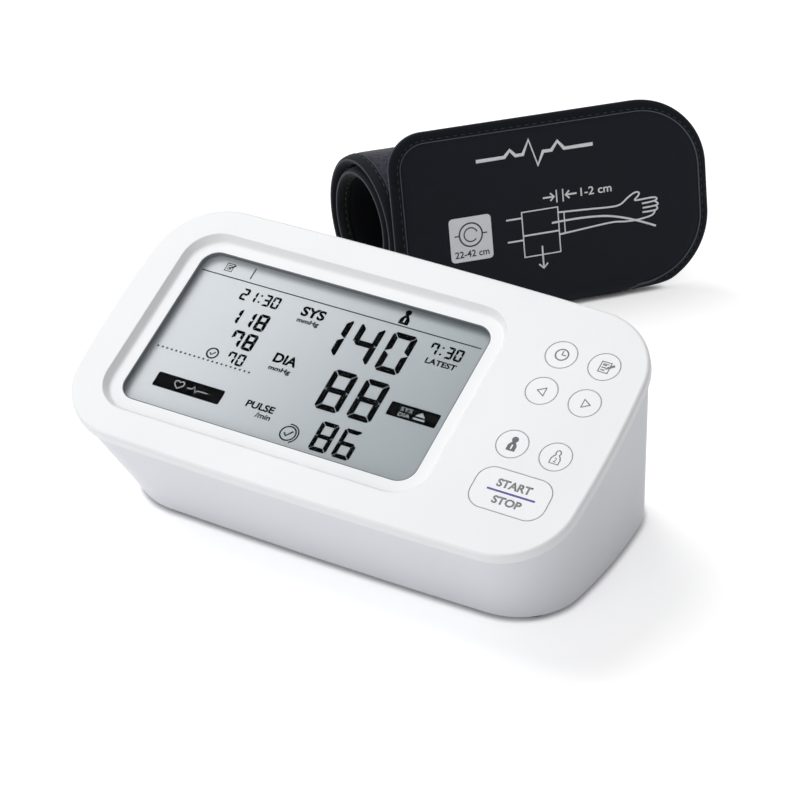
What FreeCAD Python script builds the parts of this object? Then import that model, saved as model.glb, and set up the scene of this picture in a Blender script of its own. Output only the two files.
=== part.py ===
import FreeCAD, Part
import math
import os
import re

import Sketcher
from FreeCAD import Placement, Rotation, Vector

# Upper-arm blood pressure monitor: a tilted console and the arm cuff that stands wound up behind it.
# The origin lies on the console's resting plane, midway between its sides: X right, Y back and Z up.

# Counts and whole turns
CELL_COUNT = 4
ROLL_QUARTERS = 7
TURN_QUARTERS = 4
QUARTER_TURN = 90.0
ROUND_STEPS = 3
SETTLE_ROUNDS = 40
RIGHT = Vector(1, 0, 0)
BACK = Vector(0, 1, 0)
UP = Vector(0, 0, 1)
WORD = re.compile(r"[a-z][a-z_]*")

# Driving sizes in millimetres, angles in degrees.
SIZES = {
    # Tilted control panel
    "panel_width": 191.0,
    "panel_length": 102.9,
    "panel_corner": 25.0,
    "panel_end_bow": 400.0,
    "panel_long_bow": 3000.0,
    "panel_tilt": 23.8,
    "panel_setback": 27.98,
    "panel_rise": 64.06,
    "panel_plate": 2.2,
    "panel_round": 1.2,
    "cap_depth": 4.0,
    "cap_wall": 2.0,
    # Tub under the panel
    "parting_gap": 0.8,
    "parting_step": 1.0,
    "side_taper": 9.0,
    "base_length": 93.3,
    "base_shift": 3.65,
    "base_corner": 24.0,
    "base_end_bow": 250.0,
    "base_long_bow": 2500.0,
    "base_round": 1.0,
    "tub_wall": 2.2,
    "tub_floor": 2.2,
    "overrun": 1.0,
    "foot_height": 1.2,
    "foot_sink": 0.8,
    "foot_radius": 5.0,
    "foot_inset_x": 13.0,
    "foot_inset_y": 12.5,
    # Sunk display surround
    "recess_margin": 12.4,
    "keypad_band": 52.2,
    "recess_end_margin": 11.95,
    "recess_lift": 0.3,
    "recess_corner": 13.0,
    "recess_depth": 2.7,
    "recess_slope": 1.6,
    "recess_lip_round": 0.35,
    "recess_floor_round": 1.2,
    "ring_width": 4.7,
    "view_corner": 6.5,
    "tray_wall": 2.0,
    "tray_floor": 1.6,
    # Display stack
    "window_margin": 2.0,
    "window_thick": 1.2,
    "lcd_thick": 2.4,
    "frame_wall": 1.6,
    "frame_lip": 1.2,
    "frame_ledge": 6.0,
    "part_gap": 0.3,
    "edge_slack": 0.03,
    "strip_width": 2.4,
    "strip_inset": 9.0,
    # Push buttons
    "button_radius": 5.25,
    "button_slit": 0.4,
    "button_inset": 16.5,
    "button_pitch": 15.6,
    "row_margin": 22.25,
    "row_pitch": 15.4,
    "user_drop": 22.35,
    "start_drop": 17.65,
    "start_width": 26.4,
    "start_length": 15.6,
    "start_corner": 5.6,
    "flange_reach": 1.0,
    "flange_thick": 0.8,
    "stem_radius": 1.8,
    "sleeve_wall": 0.9,
    "sleeve_depth": 2.6,
    "press_travel": 0.6,
    # Board and switches
    "board_thick": 1.6,
    "board_side_gap": 14.3,
    "board_front_gap": 9.3,
    "board_back_gap": 14.35,
    "switch_width": 6.0,
    "switch_body": 1.9,
    "plunger_radius": 1.7,
    "plunger_height": 0.7,
    "board_post_radius": 2.6,
    "board_screw_radius": 1.0,
    "board_screw_length": 4.6,
    "board_head_radius": 2.1,
    "board_head_height": 1.3,
    "board_screw_edge": 2.6,
    "board_screw_left": 7.0,
    "keypad_post_gap": 9.1,
    "keypad_post_back": 4.0,
    "sensor_width": 10.0,
    "sensor_height": 4.0,
    "sensor_back": 10.0,
    # Case screws and front hooks
    "column_inset": 16.5,
    "column_edge": 5.1,
    "column_wall": 1.3,
    "column_drop": 3.24,
    "well_radius": 3.2,
    "shoulder_height": 4.0,
    "screw_radius": 1.45,
    "screw_length": 13.0,
    "screw_head_radius": 2.7,
    "screw_head_height": 2.0,
    "post_radius": 2.8,
    "hook_x": 45.0,
    "hook_width": 10.0,
    "hook_arm": 1.6,
    "hook_reach": 1.5,
    "hook_depth": 9.0,
    "hook_foot": 1.6,
    "hook_inset": 6.2,
    "lug_thick": 1.6,
    # Battery bay and cover
    "cell_radius": 7.1,
    "cell_length": 49.5,
    "cell_pitch": 14.8,
    "cell_nub_radius": 2.7,
    "cell_nub_length": 1.0,
    "bay_shift": 1.0,
    "bay_side_gap": 1.4,
    "bay_end_gap": 5.0,
    "bay_head_gap": 0.6,
    "bay_wall": 2.4,
    "bay_roof": 1.8,
    "bay_ledge": 2.0,
    "cover_gap": 0.4,
    "cell_rest": 0.5,
    "tab_width": 8.0,
    "tab_spread": 16.0,
    "tab_web": 2.0,
    "tab_reach": 3.0,
    "tab_lift": 1.0,
    "tab_thick": 1.8,
    "tab_window": 7.0,
    "latch_width": 12.0,
    "latch_thick": 1.4,
    "latch_height": 2.2,
    "grip_radius": 9.0,
    "grip_depth": 0.9,
    "contact_thick": 0.4,
    "contact_height": 8.0,
    "spring_radius": 3.0,
    "spring_wire": 0.45,
    "spring_turns": 3.0,
    # Pump, valve and air path
    "motor_radius": 12.0,
    "motor_length": 29.0,
    "head_radius": 13.5,
    "head_length": 26.0,
    "pump_gap": 2.2,
    "pump_share": 0.524,
    "pump_start": 40.0,
    "cradle_height": 5.0,
    "cradle_side": 1.5,
    "cradle_length": 46.0,
    "barb_radius": 1.5,
    "barb_length": 5.0,
    "tube_wall": 1.3,
    "tube_bend": 10.0,
    "tube_turn": 6.0,
    "tube_fit": 0.05,
    "tube_space": 4.5,
    "valve_width": 18.0,
    "valve_length": 22.0,
    "valve_height": 14.0,
    "valve_front": 14.0,
    "manifold_width": 24.0,
    "manifold_length": 14.0,
    "manifold_height": 10.0,
    "manifold_back": 14.0,
    "barb_spread": 7.0,
    "jack_back": 1.5,
    "jack_height": 24.0,
    "jack_radius": 5.2,
    "jack_proud": 0.8,
    "jack_length": 16.0,
    "jack_bore": 2.3,
    "jack_bore_depth": 12.0,
    "jack_flange_radius": 7.5,
    "jack_flange_thick": 1.6,
    "power_inset": 34.5,
    "power_height": 27.0,
    "power_radius": 4.8,
    "power_length": 13.0,
    "power_bore": 2.8,
    "power_bore_depth": 9.0,
    "power_pin_radius": 1.0,
    # Wound arm cuff
    "cuff_x": 1.2,
    "cuff_y": 162.3,
    "cuff_heading": 47.5,
    "cuff_skew": 9.0,
    "cuff_left": 84.5,
    "cuff_right": 44.2,
    "band_clearance": 0.8,
    "cloth_thick": 0.8,
    "curler_thick": 0.8,
    "bladder_thick": 1.8,
    "roll_radius": 27.2,
    "roll_foot": 28.4,
    "flap_height": 77.0,
    "flap_lean": 11.0,
    "fold_radius": 2.6,
    "tail_angle": 40.0,
    "binding_width": 4.0,
    "flap_corner_left": 14.0,
    "flap_corner_right": 29.5,
    "flap_corner_low": 30.0,
    "flap_overhang": 34.0,
    "print_run": 96.0,
    "bladder_start": 130.0,
    "bladder_end": 20.0,
    "bladder_inset": 9.0,
    "hook_patch_start": 8.0,
    "hook_patch_run": 20.0,
    "hook_patch_inset": 26.0,
    "hook_patch_thick": 0.9,
    "port_radius": 7.0,
    "port_thick": 2.0,
    "port_nipple_length": 8.0,
    "port_from_right": 57.0,
}

# Sizes worked out from the driving ones, in the order that they need each other.
DERIVED = {
    "base_width": "panel_width - 2 * side_taper",
    "floor_top": "foot_height + tub_floor",
    "parting_depth": "cap_depth + parting_gap",
    "recess_width": "panel_width - recess_margin - keypad_band",
    "recess_length": "panel_length - 2 * recess_end_margin",
    "recess_x": "recess_margin + recess_width / 2 - panel_width / 2",
    "floor_width": "recess_width - 2 * recess_slope",
    "floor_length": "recess_length - 2 * recess_slope",
    "floor_corner": "recess_corner - recess_slope",
    "view_width": "floor_width - 2 * ring_width",
    "view_length": "floor_length - 2 * ring_width",
    "window_width": "view_width + 2 * window_margin",
    "window_length": "view_length + 2 * window_margin",
    "window_depth": "recess_depth + tray_floor",
    "lcd_depth": "window_depth + window_thick",
    "lip_depth": "lcd_depth + lcd_thick",
    "board_depth": "lip_depth + frame_lip",
    "board_width": "panel_width - 2 * board_side_gap",
    "board_front": "board_front_gap - panel_length / 2",
    "board_back": "panel_length / 2 - board_back_gap",
    "column_back": "panel_length / 2 * cos(panel_tilt) - panel_setback - column_edge",
    "column_top": "panel_rise + board_back * sin(panel_tilt)"
    " - (board_depth + board_thick) * cos(panel_tilt) - column_drop",
    "column_far": "panel_width / 2 - button_inset",
    "column_near": "column_far - button_pitch",
    "column_middle": "column_far - button_pitch / 2",
    "row_top": "panel_length / 2 - row_margin",
    "row_arrow": "row_top - row_pitch",
    "row_user": "row_arrow - user_drop",
    "row_start": "row_user - start_drop",
    "flange_depth": "panel_plate + part_gap",
    "stem_length": "board_depth - switch_body - plunger_height - flange_depth - press_travel - part_gap",
    "bay_width": "%d * cell_pitch + 2 * bay_side_gap" % CELL_COUNT,
    "bay_length": "cell_length + cell_nub_length + 2 * bay_end_gap",
    "cell_height": "floor_top + cell_rest + cell_radius",
    "bay_top": "cell_height + cell_radius + bay_head_gap",
    "bay_front": "0 - bay_shift - bay_length / 2",
    "bay_back": "bay_length / 2 - bay_shift",
    "cover_width": "bay_width + 2 * bay_ledge - 2 * cover_gap",
    "cover_length": "bay_length + 2 * bay_ledge - 2 * cover_gap",
    "cover_thick": "tub_floor - part_gap",
    "cover_front": "0 - bay_shift - cover_length / 2",
    "column_x": "base_width / 2 - column_inset",
    "column_radius": "well_radius + column_wall",
    "foot_x": "base_width / 2 - foot_inset_x",
    "foot_front": "foot_inset_y - base_shift - base_length / 2",
    "foot_back": "base_length / 2 - base_shift - foot_inset_y",
    "pump_height": "floor_top + cradle_height + head_radius",
    "manifold_floor": "bay_top + bay_roof",
    "barb_height": "manifold_floor + manifold_height / 2",
    "tube_radius": "barb_radius + tube_wall",
    "jack_slant": "(jack_height - foot_height) / (panel_rise - foot_height)",
    "jack_face": "base_width / 2 + side_taper * jack_slant + jack_proud",
    "jack_inside": "jack_face - jack_length",
    "pump_x": "0 - jack_inside * pump_share",
    "bay_x": "pump_x + head_radius + pump_gap + bay_wall + bay_width / 2",
    "valve_x": "bay_x + bay_width / 2 + bay_wall - valve_width / 2",
    "power_x": "base_width / 2 - power_inset",
    "back_lean": "(base_length / 2 - base_shift + panel_setback - panel_length / 2 * cos(panel_tilt))"
    " / (panel_rise + panel_length / 2 * sin(panel_tilt) - foot_height)",
    "power_face": "base_length / 2 - base_shift - (power_height - foot_height) * back_lean + jack_proud",
    "band_thick": "2 * cloth_thick + curler_thick + bladder_thick",
    "band_pitch": "band_thick + band_clearance",
    "cuff_width": "cuff_left + cuff_right",
}

doc = FreeCAD.newDocument("pressure_monitor")
sheet = doc.addObject("Spreadsheet::Sheet", "Sizes")
for row, (name, value) in enumerate([*SIZES.items(), *DERIVED.items()], start=1):
    sheet.set("A%d" % row, name)
    sheet.set("B%d" % row, "=" + value if name in DERIVED else str(value))
    sheet.setAlias("B%d" % row, name)
doc.recompute()


def size(name):
    """The present value of one named size."""
    return float(sheet.get(name))


def bind(item, prop, text):
    """Tie a property to a formula written with size names."""
    known = SIZES.keys() | DERIVED.keys()
    tied = WORD.sub(lambda word: "Sizes." + word.group() if word.group() in known else word.group(), text)
    item.setExpression(prop, tied)


def settle(item, x, y, z, axis=RIGHT, angle="0"):
    """Tie an item's place to three offsets and to a turn about one axis."""
    item.Placement = Placement(Vector(), Rotation(axis, QUARTER_TURN))
    bind(item, "Placement.Rotation.Angle", angle)
    bind(item, "Placement.Base.x", x)
    bind(item, "Placement.Base.y", y)
    bind(item, "Placement.Base.z", z)


def on_panel(item, x="0", y="0", z="0"):
    """Set an item into the frame of the tilted panel, with z measured out of its face."""
    y_place = "(%s) * cos(panel_tilt) - (%s) * sin(panel_tilt) - panel_setback" % (y, z)
    z_place = "(%s) * sin(panel_tilt) + (%s) * cos(panel_tilt) + panel_rise" % (y, z)
    settle(item, x, y_place, z_place, RIGHT, "panel_tilt")


def block(name, width, length, height, x="0", y="0", z="0"):
    """A box centred on x and y that stands on z."""
    item = doc.addObject("Part::Box", name)
    bind(item, "Length", width)
    bind(item, "Width", length)
    bind(item, "Height", height)
    settle(item, "(%s) - (%s) / 2" % (x, width), "(%s) - (%s) / 2" % (y, length), z)
    return item


def rod(name, radius, height, x="0", y="0", z="0", axis=RIGHT, angle="0"):
    """A cylinder that rises from a point, turned about one axis from upright."""
    item = doc.addObject("Part::Cylinder", name)
    bind(item, "Radius", radius)
    bind(item, "Height", height)
    settle(item, x, y, z, axis, angle)
    return item


def rod_back(name, radius, height, x, y, z):
    """A cylinder that runs backwards from a point."""
    return rod(name, radius, height, x, y, z, RIGHT, "-%g" % QUARTER_TURN)


def rod_right(name, radius, height, x, y, z):
    """A cylinder that runs to the right from a point."""
    return rod(name, radius, height, x, y, z, BACK, "%g" % QUARTER_TURN)


def joined(name, *items):
    """Several touching items as one solid."""
    item = doc.addObject("Part::MultiFuse", name)
    item.Shapes = list(items)
    item.Refine = True
    return item


def group(name, *items):
    """Several separate solids in one node."""
    item = doc.addObject("Part::Compound", name)
    item.Links = list(items)
    return item


def less(name, base, *tools):
    """An item with others cut away from it."""
    item = doc.addObject("Part::Cut", name)
    item.Base = base
    item.Tool = tools[0] if len(tools) == 1 else joined(name + "_tools", *tools)
    return item


def new_sketch(body, name, y="0", z="0", angle="0"):
    """A sketch on the body's own ground plane, shifted and turned about the X axis."""
    sketch = body.newObject("Sketcher::SketchObject", name)
    plane = [item for item in body.Origin.OriginFeatures if item.Role == "XY_Plane"][0]
    sketch.AttachmentSupport = (plane, [""])
    sketch.MapMode = "FlatFace"
    sketch.AttachmentOffset = Placement(Vector(), Rotation(RIGHT, QUARTER_TURN))
    bind(sketch, "AttachmentOffset.Rotation.Angle", angle)
    bind(sketch, "AttachmentOffset.Base.y", y)
    bind(sketch, "AttachmentOffset.Base.z", z)
    return sketch


def hold(sketch, kind, *where, named=None, text=None):
    """Add one constraint, tied to a formula where it has a size."""
    index = sketch.addConstraint(Sketcher.Constraint(kind, *where))
    if named:
        sketch.renameConstraint(index, named)
        bind(sketch, "Constraints." + named, text)


def arc(centre_x, centre_y, radius, start, end):
    """An arc of a circle between two angles in radians."""
    return Part.ArcOfCircle(Part.Circle(Vector(centre_x, centre_y, 0), UP, radius), start, end)


def formula_value(text):
    """A formula's present value, through a spare cell of the sheet."""
    sheet.set("D1", "=" + text)
    sheet.recompute()
    return float(sheet.get("D1"))


def pillow(sketch, width, length, corner, end_bow, long_bow):
    """A closed outline of eight tangent arcs: four corners and four gently bowed sides."""
    half_x = formula_value(width) / 2
    half_y = formula_value(length) / 2
    round_off, bow_x, bow_y = (formula_value(text) for text in (corner, end_bow, long_bow))
    corner_x = half_x - round_off
    corner_y = half_y - round_off
    for _ in range(SETTLE_ROUNDS):
        corner_x = half_x - bow_x + math.sqrt((bow_x - round_off) ** 2 - corner_y**2)
        corner_y = half_y - bow_y + math.sqrt((bow_y - round_off) ** 2 - corner_x**2)
    side = math.atan2(corner_y, corner_x - half_x + bow_x)
    top = math.atan2(corner_y - half_y + bow_y, corner_x)
    half = math.pi
    arcs = [
        arc(half_x - bow_x, 0, bow_x, -side, side),
        arc(corner_x, corner_y, round_off, side, top),
        arc(0, half_y - bow_y, bow_y, top, half - top),
        arc(-corner_x, corner_y, round_off, half - top, half - side),
        arc(bow_x - half_x, 0, bow_x, half - side, half + side),
        arc(-corner_x, -corner_y, round_off, half + side, half + top),
        arc(0, bow_y - half_y, bow_y, half + top, 2 * half - top),
        arc(corner_x, -corner_y, round_off, -top, -side),
    ]
    sketch.addGeometry(arcs, False)
    count = len(arcs)
    for index in range(count):
        hold(sketch, "Tangent", index, 2, (index + 1) % count, 1)
    for index in (3, 5, 7):
        hold(sketch, "Equal", 1, index)
    hold(sketch, "Equal", 0, 4)
    hold(sketch, "Equal", 2, 6)
    for index, axis in ((0, -1), (4, -1), (2, -2), (6, -2)):
        hold(sketch, "PointOnObject", index, 3, axis)
    reach_x = "(%s) - (%s) / 2" % (end_bow, width)
    reach_y = "(%s) - (%s) / 2" % (long_bow, length)
    hold(sketch, "Radius", 1, round_off, named="corner", text=corner)
    hold(sketch, "Radius", 0, bow_x, named="end_bow", text=end_bow)
    hold(sketch, "Radius", 2, bow_y, named="long_bow", text=long_bow)
    hold(sketch, "DistanceX", 0, 3, -1, 1, bow_x - half_x, named="right", text=reach_x)
    hold(sketch, "DistanceX", -1, 1, 4, 3, bow_x - half_x, named="left", text=reach_x)
    hold(sketch, "DistanceY", 2, 3, -1, 1, bow_y - half_y, named="rear", text=reach_y)
    hold(sketch, "DistanceY", -1, 1, 6, 3, bow_y - half_y, named="front", text=reach_y)


def rounded(sketch, width, length, corner):
    """A rectangle with round corners about the sketch's origin."""
    half_x = formula_value(width) / 2
    half_y = formula_value(length) / 2
    round_off = formula_value(corner)
    flat_x = half_x - round_off
    flat_y = half_y - round_off
    quarter = math.pi / 2
    shapes = [
        Part.LineSegment(Vector(-flat_x, -half_y, 0), Vector(flat_x, -half_y, 0)),
        arc(flat_x, -flat_y, round_off, -quarter, 0),
        Part.LineSegment(Vector(half_x, -flat_y, 0), Vector(half_x, flat_y, 0)),
        arc(flat_x, flat_y, round_off, 0, quarter),
        Part.LineSegment(Vector(flat_x, half_y, 0), Vector(-flat_x, half_y, 0)),
        arc(-flat_x, flat_y, round_off, quarter, 2 * quarter),
        Part.LineSegment(Vector(-half_x, flat_y, 0), Vector(-half_x, -flat_y, 0)),
        arc(-flat_x, -flat_y, round_off, 2 * quarter, 3 * quarter),
    ]
    sketch.addGeometry(shapes, False)
    count = len(shapes)
    for index in range(count):
        hold(sketch, "Tangent", index, 2, (index + 1) % count, 1)
    for index in (0, 4):
        hold(sketch, "Horizontal", index)
        hold(sketch, "Vertical", index + 2)
    for index in (3, 5, 7):
        hold(sketch, "Equal", 1, index)
    hold(sketch, "Symmetric", 0, 1, 4, 1, -1, 1)
    hold(sketch, "Radius", 1, round_off, named="corner", text=corner)
    hold(sketch, "DistanceX", 6, 1, 2, 1, 2 * half_x, named="width", text=width)
    hold(sketch, "DistanceY", 0, 1, 4, 1, 2 * half_y, named="length", text=length)


def pad(body, sketch, height, down=False):
    """Thicken a sketch into its body."""
    feature = body.newObject("PartDesign::Pad", sketch.Name + "_pad")
    feature.Profile = sketch
    feature.Reversed = down
    bind(feature, "Length", height)
    return feature


def loft(body, kind, first, *others):
    """Stretch a straight-sided wall through sketches."""
    feature = body.newObject("PartDesign::" + kind, first.Name + "_loft")
    feature.Profile = first
    feature.Sections = list(others)
    feature.Ruled = True
    return feature


def soften(body, feature, name, radius, wanted):
    """Round the edges of a body's last feature that a test picks out."""
    doc.recompute()
    names = ["Edge%d" % (index + 1) for index, edge in enumerate(feature.Shape.Edges) if wanted(edge)]
    rounding = body.newObject("PartDesign::Fillet", name)
    rounding.Base = (feature, names)
    bind(rounding, "Radius", radius)
    return rounding


def rounded_plate(name, width, length, corner, height, x="0", y="0", z="0"):
    """A plate with round corners that stands on z."""
    body = doc.addObject("PartDesign::Body", name)
    sketch = new_sketch(body, name + "_outline")
    rounded(sketch, width, length, corner)
    pad(body, sketch, height)
    settle(body, x, y, z)
    return body


def level(edge, height):
    """Whether an edge lies flat at one height."""
    box = edge.BoundBox
    return max(abs(box.ZMin - height), abs(box.ZMax - height)) < size("edge_slack")


def panel_outline(sketch, inset):
    """Draw the console's outline, drawn in from the panel's edge."""
    pillow(
        sketch,
        "panel_width - 2 * (%s)" % inset,
        "panel_length - 2 * (%s)" % inset,
        "panel_corner - (%s)" % inset,
        "panel_end_bow - (%s)" % inset,
        "panel_long_bow - (%s)" % inset,
    )


def panel_sketch(body, name, depth, inset):
    """The console's outline on a plane under the panel's face."""
    sketch = new_sketch(body, name, z="0 - (%s)" % depth)
    panel_outline(sketch, inset)
    return sketch


def in_mouth(edge, reach):
    """Whether an edge lies in the panel's face, round the display's sunk surround."""
    return level(edge, 0) and edge.BoundBox.YMin > -reach and edge.BoundBox.YMax < reach


def build_cap():
    """The panel's plate with its rounded rim, skirt and sunk display surround."""
    body = doc.addObject("PartDesign::Body", "top_case_cap")
    slab = pad(body, panel_sketch(body, "cap_outline", "0", "0"), "cap_depth", down=True)
    soften(body, slab, "cap_rim", "panel_round", lambda edge: level(edge, 0))
    inside = panel_sketch(body, "cap_inside", "cap_depth", "cap_wall")
    hollow = body.newObject("PartDesign::Pocket", "cap_hollow")
    hollow.Profile = inside
    hollow.Reversed = True
    bind(hollow, "Length", "cap_depth - panel_plate")
    tray = new_sketch(body, "tray_outline", "recess_lift", "0 - panel_plate")
    bind(tray, "AttachmentOffset.Base.x", "recess_x")
    tray_width = "recess_width + 2 * tray_wall"
    tray_length = "recess_length + 2 * tray_wall"
    rounded(tray, tray_width, tray_length, "recess_corner + tray_wall")
    pad(body, tray, "window_depth - panel_plate", down=True)
    mouth = new_sketch(body, "recess_mouth", "recess_lift")
    bind(mouth, "AttachmentOffset.Base.x", "recess_x")
    rounded(mouth, "recess_width", "recess_length", "recess_corner")
    bed = new_sketch(body, "recess_bed", "recess_lift", "0 - recess_depth")
    bind(bed, "AttachmentOffset.Base.x", "recess_x")
    rounded(bed, "floor_width", "floor_length", "floor_corner")
    sunk = loft(body, "SubtractiveLoft", mouth, bed)
    reach = size("recess_length") / 2 + size("recess_lift") + size("panel_round")
    lipped = soften(body, sunk, "recess_lip", "recess_lip_round", lambda edge: in_mouth(edge, reach))
    soften(body, lipped, "recess_foot", "recess_floor_round", lambda edge: level(edge, -size("recess_depth")))
    return body


BUTTONS = {
    "clock_button": ("column_near", "row_top"),
    "memo_button": ("column_far", "row_top"),
    "back_button": ("column_near", "row_arrow"),
    "forward_button": ("column_far", "row_arrow"),
    "user_one_button": ("column_near", "row_user"),
    "user_two_button": ("column_far", "row_user"),
}
START_PLACE = ("column_middle", "row_start")
BOARD_POSTS = (
    ("board_screw_left - board_width / 2", "board_front + board_screw_edge"),
    ("0", "board_front + board_screw_edge"),
    ("panel_width / 2 - keypad_band + keypad_post_gap", "board_front + board_screw_edge"),
    ("panel_width / 2 - keypad_band + keypad_post_gap", "board_back - keypad_post_back"),
)


def build_top_case():
    """The cap with button sleeves, screw posts and front hooks added, and its openings cut."""
    added = [build_cap()]
    voids = []
    view = ("view_width", "view_length", "view_corner", "window_depth")
    voids.append(rounded_plate("view_void", *view, "recess_x", "recess_lift", "0 - window_depth"))
    guide = "button_radius + flange_reach + part_gap"
    sleeve_top = "0 - panel_plate"
    sleeve_foot = "0 - panel_plate - sleeve_depth"
    for name, (x, y) in BUTTONS.items():
        added.append(rod(name + "_sleeve", guide + " + sleeve_wall", "sleeve_depth", x, y, sleeve_foot))
        voids.append(rod(name + "_guide", guide, "sleeve_depth", x, y, sleeve_foot))
        voids.append(rod(name + "_hole", "button_radius + button_slit", "panel_plate", x, y, sleeve_top))
    start_guide = "2 * (flange_reach + part_gap)"
    start_wall = "2 * (flange_reach + part_gap + sleeve_wall)"
    added.append(
        rounded_plate(
            "start_sleeve",
            "start_width + " + start_wall,
            "start_length + " + start_wall,
            "start_corner + flange_reach + part_gap + sleeve_wall",
            "sleeve_depth",
            *START_PLACE,
            sleeve_foot,
        )
    )
    voids.append(
        rounded_plate(
            "start_guide",
            "start_width + " + start_guide,
            "start_length + " + start_guide,
            "start_corner + flange_reach + part_gap",
            "sleeve_depth",
            *START_PLACE,
            sleeve_foot,
        )
    )
    voids.append(
        rounded_plate(
            "start_hole",
            "start_width + 2 * button_slit",
            "start_length + 2 * button_slit",
            "start_corner + button_slit",
            "panel_plate",
            *START_PLACE,
            sleeve_top,
        )
    )
    for index, (x, y) in enumerate(BOARD_POSTS):
        post = "board_post_%d" % index
        seat = (x, y, "0 - board_depth")
        added.append(rod(post, "board_post_radius", "board_depth - panel_plate", *seat))
        voids.append(rod(post + "_pilot", "board_screw_radius", "board_screw_length", *seat))
    lean_y = "(column_back + panel_setback) * cos(panel_tilt) + (column_top - panel_rise) * sin(panel_tilt)"
    lean_z = "(column_top - panel_rise) * cos(panel_tilt) - (column_back + panel_setback) * sin(panel_tilt)"
    post_length = "(0 - panel_plate / 2 - (%s)) / cos(panel_tilt)" % lean_z
    for index, x in enumerate(("0 - column_x", "column_x")):
        post = "case_post_%d" % index
        seat = (x, lean_y, lean_z, RIGHT, "-panel_tilt")
        added.append(rod(post, "post_radius", post_length, *seat))
        voids.append(rod(post + "_pilot", "screw_radius", "screw_length", *seat))
    hook_y = "hook_inset - panel_length / 2"
    for index, x in enumerate(("0 - hook_x", "hook_x")):
        arm_length = "hook_depth + hook_foot - panel_plate"
        foot = "0 - hook_depth - hook_foot"
        arm_y = hook_y + " + hook_arm / 2"
        foot_y = hook_y + " + (hook_arm - hook_reach) / 2"
        arm = ("hook_width", "hook_arm", arm_length, x, arm_y, foot)
        toe = ("hook_width", "hook_arm + hook_reach", "hook_foot", x, foot_y, foot)
        added.append(block("hook_arm_%d" % index, *arm))
        added.append(block("hook_foot_%d" % index, *toe))
    case = less("top_case", joined("top_case_body", *added), *voids)
    on_panel(case)
    return case


def foot_sketch(body, name, lift, inset):
    """The tub's level outline at one height, drawn in from its widest line."""
    sketch = new_sketch(body, name, "0 - base_shift", lift)
    pillow(
        sketch,
        "base_width - 2 * (%s)" % inset,
        "base_length - 2 * (%s)" % inset,
        "base_corner - (%s)" % inset,
        "base_end_bow - (%s)" % inset,
        "base_long_bow - (%s)" % inset,
    )
    return sketch


def rim_sketch(body, name, depth, inset):
    """The tub's upper outline on a plane parallel to the panel."""
    y_place = "(%s) * sin(panel_tilt) - panel_setback" % depth
    z_place = "panel_rise - (%s) * cos(panel_tilt)" % depth
    sketch = new_sketch(body, name, y_place, z_place, "panel_tilt")
    panel_outline(sketch, "parting_step + " + inset)
    return sketch


def build_tub_shell():
    """The lofted tub: a level foot with a rounded edge, joined to the tilted panel outline."""
    body = doc.addObject("PartDesign::Body", "bottom_case_shell")
    sections = []
    for step in range(ROUND_STEPS + 1):
        angle = QUARTER_TURN * step / ROUND_STEPS
        lift = "foot_height + base_round * (1 - cos(%g))" % angle
        sections.append(foot_sketch(body, "tub_foot_%d" % step, lift, "base_round * (1 - sin(%g))" % angle))
    sections.append(rim_sketch(body, "tub_rim", "parting_depth", "0"))
    loft(body, "AdditiveLoft", *sections)
    inside = foot_sketch(body, "tub_inside_foot", "floor_top", "tub_wall")
    mouth = rim_sketch(body, "tub_inside_rim", "parting_depth - overrun", "tub_wall")
    loft(body, "SubtractiveLoft", inside, mouth)
    return body


def build_bottom_case():
    """The tub with its battery bay, screw columns and hook lugs, and its openings cut."""
    added = [build_tub_shell()]
    voids = []
    bay_y = "0 - bay_shift"
    added.append(
        block(
            "bay_block",
            "bay_width + 2 * bay_wall",
            "bay_length + 2 * bay_wall",
            "bay_top + bay_roof - foot_height - base_round",
            "bay_x",
            bay_y,
            "foot_height + base_round",
        )
    )
    voids.append(block("bay_void", "bay_width", "bay_length", "bay_top", "bay_x", bay_y))
    mouth = ("bay_width + 2 * bay_ledge", "bay_length + 2 * bay_ledge", "floor_top")
    voids.append(block("bay_mouth", *mouth, "bay_x", bay_y))
    for index, x in enumerate(("bay_x - tab_spread", "bay_x + tab_spread")):
        window = ("tab_width + 2 * tab_lift", "2 * bay_wall", "tab_window")
        voids.append(block("tab_window_%d" % index, *window, x, "bay_front - bay_wall / 2", "floor_top"))
    for index, x in enumerate(("0 - column_x", "column_x")):
        column = "screw_column_%d" % index
        added.append(rod(column, "column_radius", "column_top - floor_top", x, "column_back", "floor_top"))
        voids.append(rod(column + "_well", "well_radius", "column_top - shoulder_height", x, "column_back"))
        voids.append(rod(column + "_bore", "screw_radius + part_gap", "column_top", x, "column_back"))
        for part, y in (("front", "foot_front"), ("back", "foot_back")):
            seat = "foot_seat_%s_%d" % (part, index)
            foot_x = x.replace("column_x", "foot_x")
            voids.append(rod(seat, "foot_radius + part_gap / 2", "foot_height + foot_sink", foot_x, y))
    lug_y = "hook_inset - panel_length / 2 - part_gap"
    for index, x in enumerate(("0 - hook_x", "hook_x")):
        lug = block("hook_lug_%d" % index, "hook_width", "2 * hook_reach", "lug_thick")
        depth = "hook_depth - part_gap"
        on_panel(lug, x + " - hook_width / 2", lug_y + " - 2 * hook_reach", "0 - (%s)" % depth)
        added.append(lug)
    air = ("jack_radius", "jack_length", "0 - jack_face", "jack_back", "jack_height")
    voids.append(rod_right("jack_hole", *air))
    power = ("power_radius", "power_length", "power_x", "power_face - power_length", "power_height")
    voids.append(rod_back("power_hole", *power))
    return less("bottom_case", joined("bottom_case_body", *added), *voids)


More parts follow.
